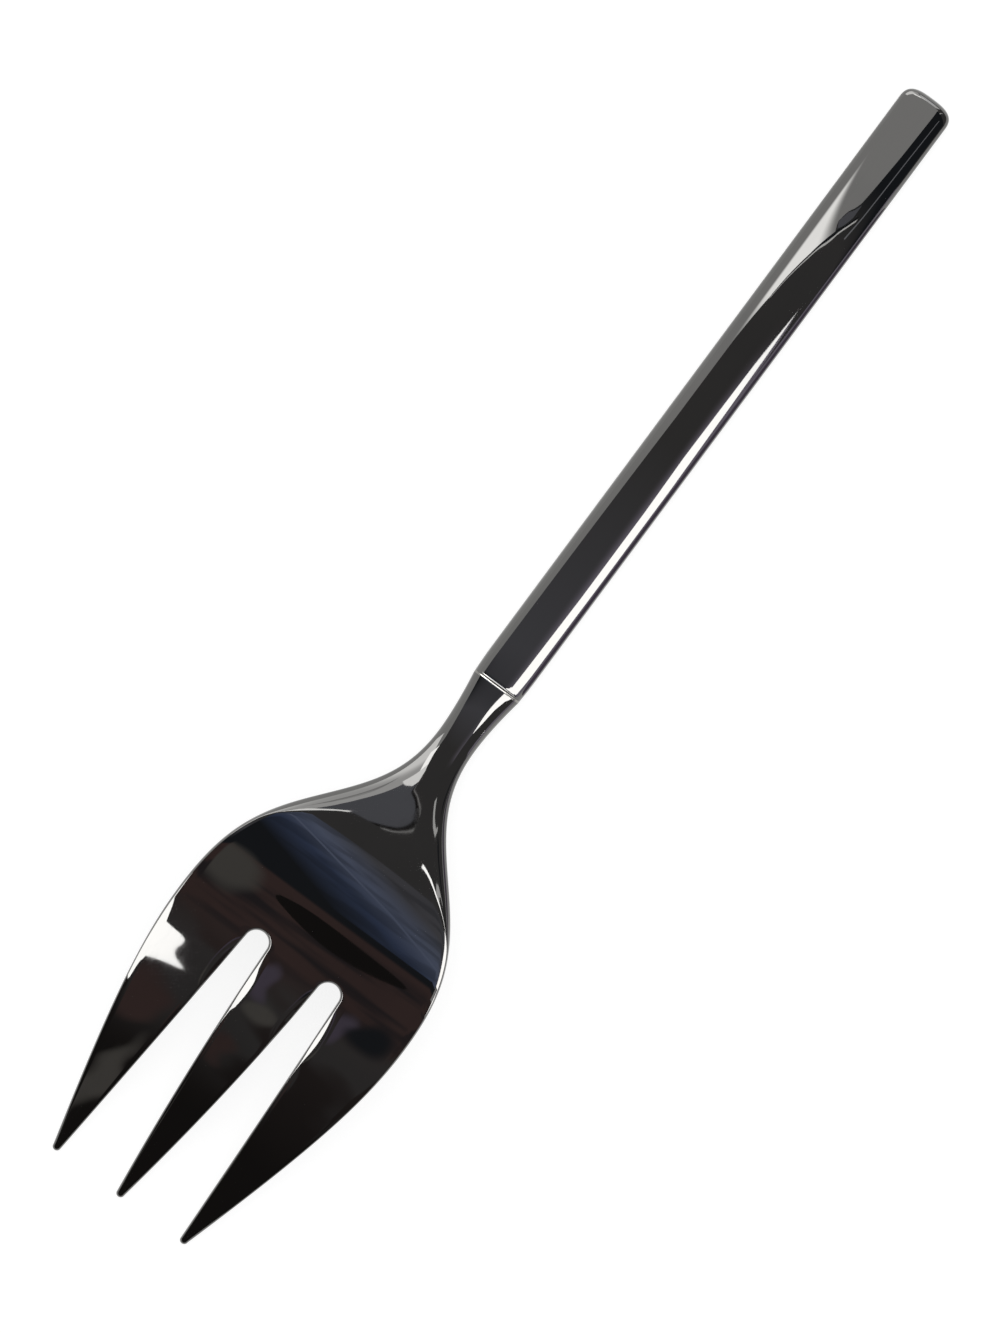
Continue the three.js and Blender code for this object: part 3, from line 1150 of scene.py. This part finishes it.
@dataclass
class Mouth:
    """The braze ring at the mouth of the handle, with a hollow fillet against the step."""

    handle: Handle
    head: Head
    fillet_height: float = 0.22
    tang_clearance: float = 0.3
    columns: int = 128
    fillet_rows: int = 8
    slot_fullness: float = 8.0

    def ring(self) -> Surface:
        """The ring between the handle's mouth and the neck's shoulder.

        The outer face is the neck's section, raised on the back by the fillet
        height * (1 - sqrt(1 - (distance from the neck / thickness) ** 2)).

        Returns:
            A closed tube: its outer face with the fillet, and the tang's opening.
        """
        angle = np.linspace(0.0, 2 * math.pi, self.columns, endpoint=False)
        near, far = self.handle.length, self.head.neck_start
        seam, upper = self.head.seam_height, np.sin(angle) > 0
        power = np.where(upper, self.head.back_fullness, self.head.front_fullness)
        y = self.head.shoulder_width / 2 * signed_power(np.cos(angle), 2.0 / power)
        rise = np.where(upper, self.head.neck_thickness - seam, seam)
        z = seam + rise * np.sin(angle)
        along = np.sin(np.linspace(0.0, QUARTER, self.fillet_rows))[::-1, None]
        x = far - (far - near) * along
        fillet = self.fillet_height * (1.0 - np.sqrt(1.0 - along**2)) * np.clip(np.sin(angle), 0.0, 1.0)
        outer = np.stack([x + 0 * y, y + 0 * x, z + fillet], axis=-1)
        width = self.head.tang_width / 2 + self.tang_clearance
        height = self.head.tang_thickness / 2 + self.tang_clearance
        opening_y = width * signed_power(np.cos(angle), 2.0 / self.slot_fullness)
        opening_z = seam + height * signed_power(np.sin(angle), 2.0 / self.slot_fullness)
        places = np.array([[far], [near]])
        inner = np.stack([places + 0 * y, opening_y + 0 * places, opening_z + 0 * places], axis=-1)
        tube = np.concatenate([outer, inner, outer[:1]])
        return Surface.grid(tube, closed=True)

    def build(self, finishes: Finishes) -> None:
        """Makes the ring and dresses it."""
        ring = self.ring().as_object("mouth_fillet_ring")
        place(ring, "mouth_braze", finishes.braze)


# Studio


class Tone(Enum):
    """Colours of the boards and lamps round the fork that show in its metal."""

    WHITE = (1.0, 1.0, 1.0)
    PALE = (0.7, 0.64, 0.8)
    GREY = (0.42, 0.43, 0.47)
    SLATE = (0.158, 0.154, 0.156)
    STONE = (0.265, 0.265, 0.3)
    ASH = (0.25, 0.235, 0.22)
    DUSK = (0.36, 0.43, 0.65)
    NAVY = (0.14, 0.19, 0.35)
    INK = (0.045, 0.05, 0.06)
    UMBER = (0.17, 0.11, 0.105)
    BARK = (0.085, 0.068, 0.066)
    SOOT = (0.036, 0.032, 0.031)
    PLUM = (0.25, 0.21, 0.29)
    LEAD = (0.35, 0.36, 0.41)

    def rgba(self) -> tuple:
        """The colour as a socket takes it."""
        return (*self.value, 1.0)


def add_stage(name: str, mesh: bpy.types.Mesh) -> bpy.types.Object:
    """Adds a thing that belongs to the studio and not to the fork.

    Args:
        name: name of the thing.
        mesh: its mesh.

    Returns:
        The object.
    """
    thing = bpy.data.objects.new(name, mesh)
    bpy.context.scene.collection.objects.link(thing)
    LOG.info("stage %s", name)
    return thing


def flat_face(name: str, axis: Axis, reach: float, places: list[tuple]) -> bpy.types.Mesh:
    """A mesh of one flat face.

    Args:
        name: name of the mesh.
        axis: the axis that the face stands square to.
        reach: where on that axis it stands.
        places: its corners, by their other two coordinates.

    Returns:
        The mesh.
    """
    corners = np.insert(np.array(places), axis.value, reach, axis=1)
    mesh = bpy.data.meshes.new(name)
    mesh.from_pydata(corners.tolist(), [], [tuple(range(len(corners)))])
    return mesh


def shifted(path: list[tuple], shift: tuple) -> list[tuple]:
    """A path that has been moved."""
    return [(along + shift[0], across + shift[1]) for along, across in path]


def ribbon(path: list[tuple], shift: tuple) -> list[tuple]:
    """The corners of a narrow strip between a path and the same path moved."""
    return path + shifted(path, shift)[::-1]


def rectangle(first: tuple, opposite: tuple) -> list[tuple]:
    """The corners of a rectangle between two opposite ones."""
    return [first, (opposite[0], first[1]), opposite, (first[0], opposite[1])]


def softened(places: list[tuple], rounds: int = 2) -> list[tuple]:
    """An outline whose corners are cut at a quarter of each side, so that it looks curved.

    Args:
        places: the outline's corners.
        rounds: how often its corners are cut.

    Returns:
        The corners of the softened outline.
    """
    outline = np.array(places)
    for _ in range(rounds):
        following = np.roll(outline, -1, axis=0)
        cut = [lerp(outline, following, share) for share in (0.25, 0.75)]
        outline = np.stack(cut, axis=1).reshape(-1, 2)
    return list(map(tuple, outline.tolist()))


@dataclass(frozen=True)
class Card:
    """A flat card that shows only in the metal, as a board or as a lamp's face."""

    name: str
    axis: Axis
    reach: float
    places: list[tuple]
    tone: Tone = Tone.WHITE
    strength: float = 1.0

    def colour(self, sheet: NodeSheet) -> Any:
        """The card's colour, the same all over."""
        return self.tone.rgba()

    def build(self) -> None:
        """Makes the card, hidden from the camera and from all light that isn't mirrored."""
        mesh = flat_face(self.name, self.axis, self.reach, self.places)
        material, sheet = new_material(f"{self.name}_face")
        inputs = {"Color": self.colour(sheet), "Strength": self.strength}
        sheet.surface(sheet.node("ShaderNodeEmission", None, inputs))
        material.cycles.emission_sampling = "NONE"
        mesh.materials.append(material)
        card = add_stage(self.name, mesh)
        for rays in ("camera", "diffuse", "shadow", "transmission", "volume_scatter"):
            setattr(card, f"visible_{rays}", False)


@dataclass(frozen=True)
class BandedBoard(Card):
    """A board whose colour changes along x or on a slant, with dark streaks drawn out across it."""

    bands: tuple = ()
    slant: float = 0.0
    streaks: float = 0.0
    streak_scale: float = 200.0
    streak_draw: tuple = (1.0, 0.22, 1.0)
    streak_span: tuple = (0.44, 0.6)
    streak_start: float = -1.0
    streak_end: float = 1.0
    fade_in: float = 0.02
    fade_out: float = 0.05

    def colour(self, sheet: NodeSheet) -> Any:
        """The bands' colours, darkened in streaks from their start to their end.

        Args:
            sheet: the card's node sheet.

        Returns:
            The colour's socket.
        """
        along = sheet.coordinate(Axis.X)
        start, end = self.bands[0][0], self.bands[-1][0]
        stops = [((x - start) / (end - start), tone.value) for x, tone in self.bands]
        slanted = along + sheet.coordinate(Axis.Y) * self.slant
        share = (slanted - start) * (1.0 / (end - start))
        bands = sheet.node("ShaderNodeValToRGB", {"stops": stops}, {0: share}).outputs[0]
        spot = sheet.object_place()
        noise = sheet.noise(spot, self.streak_scale, detail=2.0, draw=self.streak_draw)
        started = along.stepped(self.streak_start, self.streak_start + self.fade_in)
        ended = along.stepped(self.streak_end, self.streak_end + self.fade_out)
        dark = noise.stepped(*self.streak_span) * started * (1.0 - ended)
        return sheet.blend(dark * self.streaks, bands, Tone.INK.rgba())


@dataclass(frozen=True)
class Ceiling(BandedBoard):
    """The board overhead: banded, paler beside the strip lamp, with soft patches over the tines.

    A spot is its middle, its reach along x and y, and its tone. Its outline wavers.
    """

    spots: tuple = ()
    spot_edge: tuple = (1.5, 0.3)
    waver: float = 0.02
    waver_across: float = 0.5
    waver_scale: float = 48.0
    patch_scale: float = 26.0
    patch_span: tuple = (0.46, 0.58)
    patch_share: float = 0.7
    patch_rise: tuple = (0.1, 0.13)
    patch_fall: tuple = (0.17, 0.23)
    pale_rise: tuple = (-0.085, -0.055)
    pale_fall: tuple = (0.01, 0.04)
    pale_side: tuple = (0.02, 0.11)

    def colour(self, sheet: NodeSheet) -> Any:
        """The bands, with the patches, the spots and the pale part laid over them.

        Args:
            sheet: the card's node sheet.

        Returns:
            The colour's socket.
        """
        along, across = sheet.coordinate(Axis.X), sheet.coordinate(Axis.Y)
        over_tines = along.stepped(*self.patch_rise) * (1.0 - along.stepped(*self.patch_fall))
        lumps = sheet.noise(sheet.object_place(), self.patch_scale, detail=1.0)
        patches = lumps.stepped(*self.patch_span) * over_tines * self.patch_share
        patched = sheet.blend(patches, super().colour(sheet), Tone.SLATE.rgba())
        waves = sheet.noise(sheet.object_place(), self.waver_scale, detail=0.0)
        waver = (waves - 0.5) * self.waver
        for (x, y), (reach_x, reach_y), tone in self.spots:
            u = (along + waver - x) * (1.0 / reach_x)
            v = (across + waver * self.waver_across - y) * (1.0 / reach_y)
            patched = sheet.blend((u * u + v * v).stepped(*self.spot_edge), patched, tone.rgba())
        beside_lamp = along.stepped(*self.pale_rise) * (1.0 - along.stepped(*self.pale_fall))
        pale = across.stepped(*self.pale_side) * beside_lamp
        return sheet.blend(pale, patched, Tone.PALE.rgba())


@dataclass(frozen=True)
class FadingLamp(Card):
    """A lamp's face that fades along some slants of x and y.

    A fade is the shares of x and y in its slant, where it is faded and where it is bright.
    """

    fades: tuple = ()
    faded: float = 0.2

    def colour(self, sheet: NodeSheet) -> Any:
        """The lamp's tone where it is bright, and grey where it has faded.

        Args:
            sheet: the card's node sheet.

        Returns:
            The colour's socket.
        """
        along, across = sheet.coordinate(Axis.X), sheet.coordinate(Axis.Y)
        share = 1.0
        for (x_share, y_share), faded_at, bright_at in self.fades:
            slant = along * x_share + across * y_share
            share = slant.stepped(faded_at, bright_at) * share
        return sheet.blend(share, (self.faded, self.faded, self.faded, 1.0), self.tone.rgba())


@dataclass(frozen=True)
class Softbox:
    """A rectangular lamp that shines one way: soft light on the table, or a glint in the metal."""

    name: str
    place_at: tuple
    turn: tuple
    size: tuple
    radiance: float
    glint: bool = False

    def build(self) -> None:
        """Makes the lamp, facing down before it is turned."""
        lamp = bpy.data.lights.new(self.name, "AREA")
        lamp.shape = "RECTANGLE"
        lamp.size, lamp.size_y = self.size
        lamp.energy = self.radiance * math.pi * self.size[0] * self.size[1]
        holder = bpy.data.objects.new(self.name, lamp)
        holder.location = self.place_at
        holder.rotation_euler = self.turn
        holder.visible_camera = False
        holder.visible_glossy = self.glint
        holder.visible_diffuse = not self.glint
        bpy.context.scene.collection.objects.link(holder)
        LOG.info("lamp %s", self.name)


@dataclass
class Studio:
    """A pale floor, white surroundings, soft lamps, and the boards that the metal mirrors."""

    floor_reach: float = 3.0
    floor_tone: float = 0.36
    floor_glow: float = 0.8
    ambient: float = 0.55
    ceiling_height: float = 0.14
    lamp_height: float = 0.139
    palm_rim_height: float = 0.06
    low_height: float = 0.05
    wedge_height: float = 0.04
    flag_height: float = 0.015
    table_gap: float = 0.001
    layer: float = 0.0005
    side_wall: float = 0.6
    rear_wall: float = -0.5
    wall_gap: float = 0.01
    lamp_strength: float = 7.0

    def seen_directly(self, sheet: NodeSheet) -> Number:
        """Tells what the camera sees, also in metal or through glass, from other light.

        Args:
            sheet: the node sheet of a material or of the world.

        Returns:
            1 for what is seen, and 0 for other light.
        """
        path = sheet.node("ShaderNodeLightPath")
        rays = ("Camera", "Glossy", "Transmission")
        seen = [Number(sheet, path.outputs[f"Is {ray} Ray"]) for ray in rays]
        return seen[0].larger(seen[1]).larger(seen[2])

    def surroundings(self) -> None:
        """White all round where it is seen, and a softer light on everything."""
        world = bpy.data.worlds.new("white_surroundings")
        world.use_nodes = True
        sheet = NodeSheet(world.node_tree)
        strength = self.ambient + self.seen_directly(sheet) * (1.0 - self.ambient)
        inputs = {"Color": Tone.WHITE.rgba(), "Strength": strength}
        glow = sheet.node("ShaderNodeBackground", None, inputs)
        sheet.node("ShaderNodeOutputWorld", None, {"Surface": glow.outputs[0]})
        bpy.context.scene.world = world

    def floor(self) -> None:
        """The floor, which keeps the fork's shadow and is lifted to white where it is seen."""
        reach = self.floor_reach
        mesh = flat_face("pale_floor", Axis.Z, 0.0, rectangle((-reach, -reach), (reach, reach)))
        material, sheet = new_material("pale_floor_matt")
        tone = (self.floor_tone, self.floor_tone, self.floor_tone, 1.0)
        matt = sheet.node("ShaderNodeBsdfDiffuse", None, {"Color": tone})
        strength = self.seen_directly(sheet) * self.floor_glow
        glow = sheet.node("ShaderNodeEmission", None, {"Strength": strength})
        both = {0: matt.outputs[0], 1: glow.outputs[0]}
        sheet.surface(sheet.node("ShaderNodeAddShader", None, both))
        mesh.materials.append(material)
        add_stage("pale_floor", mesh)

    def overhead(self) -> list[Card]:
        """The boards overhead.

        Returns:
            The main board, cut away over the butt, over the left side and for the strip lamp,
            a streak and a line just below it, and the low blue board with its fold.
        """
        rear = [(-0.45, 0.9), (-0.45, 0.1), (-0.14, 0.052), (-0.115, 0.036)]
        edge = [(-0.104, 0.007), (-0.1, -0.02), (-0.095, -0.052), (-0.088, -0.09), (-0.075, -0.112)]
        left = [(-0.057, -0.125), (-0.018, -0.209), (0.008, -0.25)]
        front = [(0.05, -0.26), (0.13, -0.4), (0.31, -0.4), (0.31, 0.9), (0.07, 0.9)]
        gap = [(0.05, 0.07), (0.004, 0.082), (-0.016, 0.105), (-0.037, 0.103), (-0.056, 0.076)]
        gap_start = [(-0.077, 0.096), (-0.089, 0.14), (-0.1, 0.9)]
        bands = (
            (-0.1, Tone.SLATE),
            (-0.05, Tone.SLATE),
            (0.0, Tone.STONE),
            (0.034, Tone.INK),
            (0.043, Tone.INK),
            (0.046, Tone.UMBER),
            (0.1, Tone.UMBER),
            (0.14, Tone.BARK),
            (0.24, Tone.SOOT),
        )
        spots = (
            ((0.146, 0.005), (0.011, 0.0065), Tone.ASH),
            ((0.122, 0.0), (0.016, 0.005), Tone.PLUM),
            ((0.117, 0.0285), (0.018, 0.0045), Tone.PLUM),
            ((0.112, 0.039), (0.016, 0.0085), Tone.INK),
            ((0.062, -0.031), (0.02, 0.013), Tone.ASH),
            ((0.19, -0.026), (0.02, 0.01), Tone.UMBER),
            ((0.187, 0.002), (0.013, 0.006), Tone.UMBER),
            ((0.275, -0.0155), (0.055, 0.0045), Tone.ASH),
        )
        streak = [(0.062, -0.016), (0.054, -0.004), (0.0535, 0.011), (0.058, 0.043), (0.07, 0.027)]
        streak_foot = [(0.0735, 0.011), (0.07, -0.0025)]
        blue = rectangle((0.014, -0.032), (0.05, 0.034))
        blue_bands = ((0.014, Tone.STONE), (0.026, Tone.DUSK), (0.037, Tone.NAVY), (0.05, Tone.INK))
        fold = [(0.019, -0.022), (0.028, -0.004), (0.035, 0.012), (0.046, 0.03)]
        rim_line = [(-0.36, 0.22), (-0.28, 0.15), (-0.21, 0.105), (-0.144, 0.072)]
        low = self.low_height
        return [
            Ceiling(
                "overhead_board",
                Axis.Z,
                self.ceiling_height,
                rear + edge + left + front + gap + gap_start,
                bands=bands,
                streaks=0.75,
                streak_scale=70.0,
                streak_start=0.046,
                streak_end=0.085,
                spots=spots,
            ),
            Card("palm_streak", Axis.Z, self.lamp_height, softened(streak + streak_foot), Tone.SOOT),
            BandedBoard("blue_board", Axis.Z, low, blue, bands=blue_bands, slant=-0.6, streaks=0.35),
            Card("blue_fold", Axis.Z, low - self.layer, ribbon(fold, (0.0009, -0.0003)), Tone.DUSK),
            Card("rim_line", Axis.Z, self.lamp_height, ribbon(rim_line, (0.0, 0.012)), strength=2.0),
        ]

    def butt_boards(self) -> list[Card]:
        """The boards low over the butt.

        Returns:
            The black board, a patch and lines just below it, and the soft lamp beside it.
        """
        border = [(-0.13, 0.0195), (-0.112, 0.0133), (-0.104, 0.0088)]
        border += [(-0.1006, 0.0065), (-0.098, 0.0012)]
        corner = [(-0.0955, -0.0008), (-0.093, 0.003), (-0.092, 0.02), (-0.088, 0.3), (-0.16, 0.3)]
        patch = [(-0.1003, 0.0085), (-0.0978, 0.0016), (-0.0955, -0.0004), (-0.0943, 0.002)]
        patch_foot = [(-0.0955, 0.005), (-0.0975, 0.009)]
        line = [(-0.124, 0.042), (-0.112, 0.033), (-0.1046, 0.0295), (-0.099, 0.0262), (-0.0937, 0.0195)]
        line_start = [(-0.0985, 0.0165), (-0.0973, 0.0115), (-0.0955, 0.0055)]
        lamp_edge = [(-0.0943, 0.0028), (-0.0916, 0.0), (-0.0893, -0.0035), (-0.0873, -0.0065)]
        lamp_edge += [(-0.0853, -0.0105), (-0.0818, -0.0172), (-0.078, -0.0225)]
        lamp_end = [(-0.0758, -0.0275), (-0.0724, -0.0335), (-0.069, -0.0385), (-0.066, -0.042)]
        lamp_far = [(-0.066, -0.065), (-0.118, -0.065), (-0.118, 0.014)]
        fades = (((0.0, 1.0), -0.055, -0.036), ((-3.0, 1.0), 0.285, 0.262), ((1.0, 0.0), -0.066, -0.08))
        bands = ((-0.16, Tone.INK), (-0.105, Tone.INK), (-0.092, Tone.SLATE))
        shade = (0.0006, 0.0014)
        lines = line_start + lamp_edge
        light_line = ribbon(shifted(lines, shade), (0.0005, 0.0007))
        lamp = lamp_edge + lamp_end + lamp_far
        low = self.low_height
        lower, higher = low - 2 * self.layer, low + 2 * self.layer
        return [
            BandedBoard("butt_board", Axis.Z, low, border + corner, bands=bands),
            Card("butt_patch", Axis.Z, low - self.layer, patch + patch_foot, Tone.LEAD),
            Card("butt_line", Axis.Z, lower, ribbon(line, (0.0, 0.004)), Tone.GREY, 1.6),
            Card("border_shade", Axis.Z, lower, ribbon(lines, shade), Tone.INK),
            Card("border_light", Axis.Z, lower, light_line, strength=2.4),
            FadingLamp("rear_lamp", Axis.Z, higher, lamp, strength=5.0, fades=fades),
        ]

    def lamps(self) -> list[Card]:
        """The lamps' faces.

        Returns:
            A strip at the right, a wedge with a dark flag and a wall lamp for the neck, a lamp
            for the palm's rim, and a window.
        """
        strip_top = [(-0.139, 0.57), (-0.135, 0.85), (-0.067, 1.1), (0.06, 1.1)]
        strip_foot = [(0.06, 0.24), (-0.03, 0.12), (-0.06, 0.13), (-0.115, 0.4)]
        wedge = [(0.0072, 0.0185), (0.0085, 0.0165), (0.0105, 0.0115), (0.0125, 0.0115)]
        wedge_far = [(0.0125, 0.06), (0.0072, 0.06)]
        flag = [(0.0102, 0.0116), (0.0115, 0.0088), (0.0131, 0.0081), (0.0147, 0.006)]
        flag_far = [(0.02, 0.006), (0.02, 0.05), (0.0105, 0.05)]
        palm_rim = rectangle((-0.002, 0.04), (0.046, 0.09))
        window = [(0.1, -0.11), (0.117, -0.06), (0.127, -0.045), (0.1318, -0.036), (0.1328, -0.0285)]
        window += [(0.137, -0.0275), (0.145, -0.0285), (0.15, -0.0268)]
        window_tail = [(0.153, -0.0225), (0.155, -0.0225), (0.158, -0.03)]
        window_far = [(0.167, -0.0405), (0.172, -0.055), (0.205, -0.075), (0.205, -0.2)]
        window_far += [(0.15, -0.4), (0.1, -0.4)]
        whole_window = softened(window + window_tail + window_far)
        neck = rectangle((-0.6, 0.48), (-0.2, 0.75))
        strength = self.lamp_strength
        return [
            Card("strip_lamp", Axis.Y, self.side_wall, strip_top + strip_foot, strength=strength),
            Card("neck_wedge", Axis.Z, self.wedge_height, wedge + wedge_far, strength=strength),
            Card("neck_flag", Axis.Z, self.flag_height, flag + flag_far, Tone.SLATE),
            Card("palm_rim_lamp", Axis.Z, self.palm_rim_height, palm_rim, strength=strength),
            Card("window_lamp", Axis.Z, self.lamp_height, whole_window, strength=strength),
            Card("neck_lamp", Axis.X, self.rear_wall + self.wall_gap, neck, strength=6.0),
        ]

    def walls(self) -> list[Card]:
        """The walls round the fork.

        Returns:
            The walls at the right and behind, a shade, a light and a glint just before the rear
            ones, and a low board beside the handle.
        """
        pale = rectangle((-0.16, 0.0), (0.1, 1.2))
        side = rectangle((-0.9, 0.0), (-0.16, 1.2))
        lit = [(-1.6, 0.0), (-0.15, 0.0), (-0.15, 0.6), (-1.6, 0.62)]
        lit_fades = (((0.0, 1.0), -0.25, -0.5),)
        lead_foot = [(-0.15, 0.0), (0.05, 0.0)]
        edge = [(0.05, 0.45), (0.04, 0.462), (0.03, 0.475), (0.015, 0.488), (0.0, 0.5), (-0.04, 0.53)]
        edge += [(-0.15, 0.6)]
        glint = [(-0.02, 0.51), (-0.03, 0.475), (-0.063, 0.455), (-0.11, 0.42), (-0.2, 0.36)]
        glint_top = [(-0.2, 0.6), (-0.11, 0.56)]
        dark = rectangle((-0.15, 0.0), (0.9, 0.62))
        low = rectangle((-0.098, 0.008), (0.007, 0.4))
        wall, beside = self.rear_wall, self.side_wall + self.wall_gap
        before, nearest = wall + 4 * self.layer, wall + 6 * self.layer
        return [
            Card("pale_wall", Axis.Y, beside, pale, Tone.PALE),
            Card("side_wall", Axis.Y, beside, side, Tone.SLATE),
            FadingLamp("lit_wall", Axis.X, wall, lit, strength=3.6, fades=lit_fades, faded=0.5),
            Card("lead_wall", Axis.X, wall, lead_foot + edge, Tone.LEAD),
            Card("edge_shade", Axis.X, before, ribbon(edge, (0.0, -0.009)), Tone.SOOT),
            Card("edge_light", Axis.X, before, ribbon(edge, (0.0, 0.004))),
            Card("wall_glint", Axis.X, nearest, glint + glint_top, strength=4.0),
            Card("dark_wall", Axis.X, wall - self.wall_gap, dark, Tone.SLATE),
            Card("low_board", Axis.Z, self.table_gap, low, Tone.PLUM),
        ]

    def build(self) -> None:
        """Sets up the surroundings, the floor, the lamps and the boards."""
        self.surroundings()
        self.floor()
        forward, backward = (0.0, -QUARTER, 0.0), (0.0, QUARTER, 0.0)
        softboxes = [
            Softbox("overhead_softbox", (-0.15, -0.2, 1.1), (0.0, 0.0, 0.0), (0.8, 0.8), 1.7),
            Softbox("shoulder_lamp", (0.03, 0.0, 0.108), backward, (0.19, 0.08), 5.0, glint=True),
            Softbox("butt_lamp", (-0.2, 0.0, 0.07), forward, (0.1, 0.06), 2.0, glint=True),
        ]
        cards = self.overhead() + self.butt_boards() + self.lamps() + self.walls()
        for thing in [*softboxes, *cards]:
            thing.build()


@dataclass(frozen=True)
class PhotoCamera:
    """The camera: nearly straight down, with the handle running up to the right."""

    target: tuple = (0.0051, -0.0015, 0.0)
    distance: float = 1.2
    lean: float = 0.048
    up: tuple = (-0.803, -0.596, 0.0)
    picture_height: float = 0.2293
    sensor: float = 36.0

    def build(self) -> None:
        """Makes the scene's camera and sets the plain view transform."""
        data = bpy.data.cameras.new("photo_camera")
        data.sensor_width = self.sensor
        data.lens = self.sensor * self.distance / self.picture_height
        camera = bpy.data.objects.new("photo_camera", data)
        bpy.context.scene.collection.objects.link(camera)
        target = Vector(self.target)
        place_at = target + Vector((0.0, -self.lean, self.distance))
        back = (place_at - target).normalized()
        right = Vector(self.up).cross(back).normalized()
        turn = Matrix((right, back.cross(right), back)).transposed()
        camera.matrix_world = Matrix.Translation(place_at) @ turn.to_4x4()
        bpy.context.scene.camera = camera
        bpy.context.scene.view_settings.view_transform = "Standard"
        LOG.info("camera %.2f m above the table", self.distance)


def main() -> None:
    """Loads the frame, builds the fork piece by piece, and sets up the studio and camera."""
    logging.basicConfig(level=logging.INFO, format="%(name)s: %(message)s")
    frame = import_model()
    finishes = Finishes()
    handle = Handle()
    head = Head()
    handle.build(frame["nodes"], finishes)
    head.build(finishes)
    Mouth(handle, head).build(finishes)
    Studio().build()
    PhotoCamera().build()


if __name__ == "__main__":
    main()
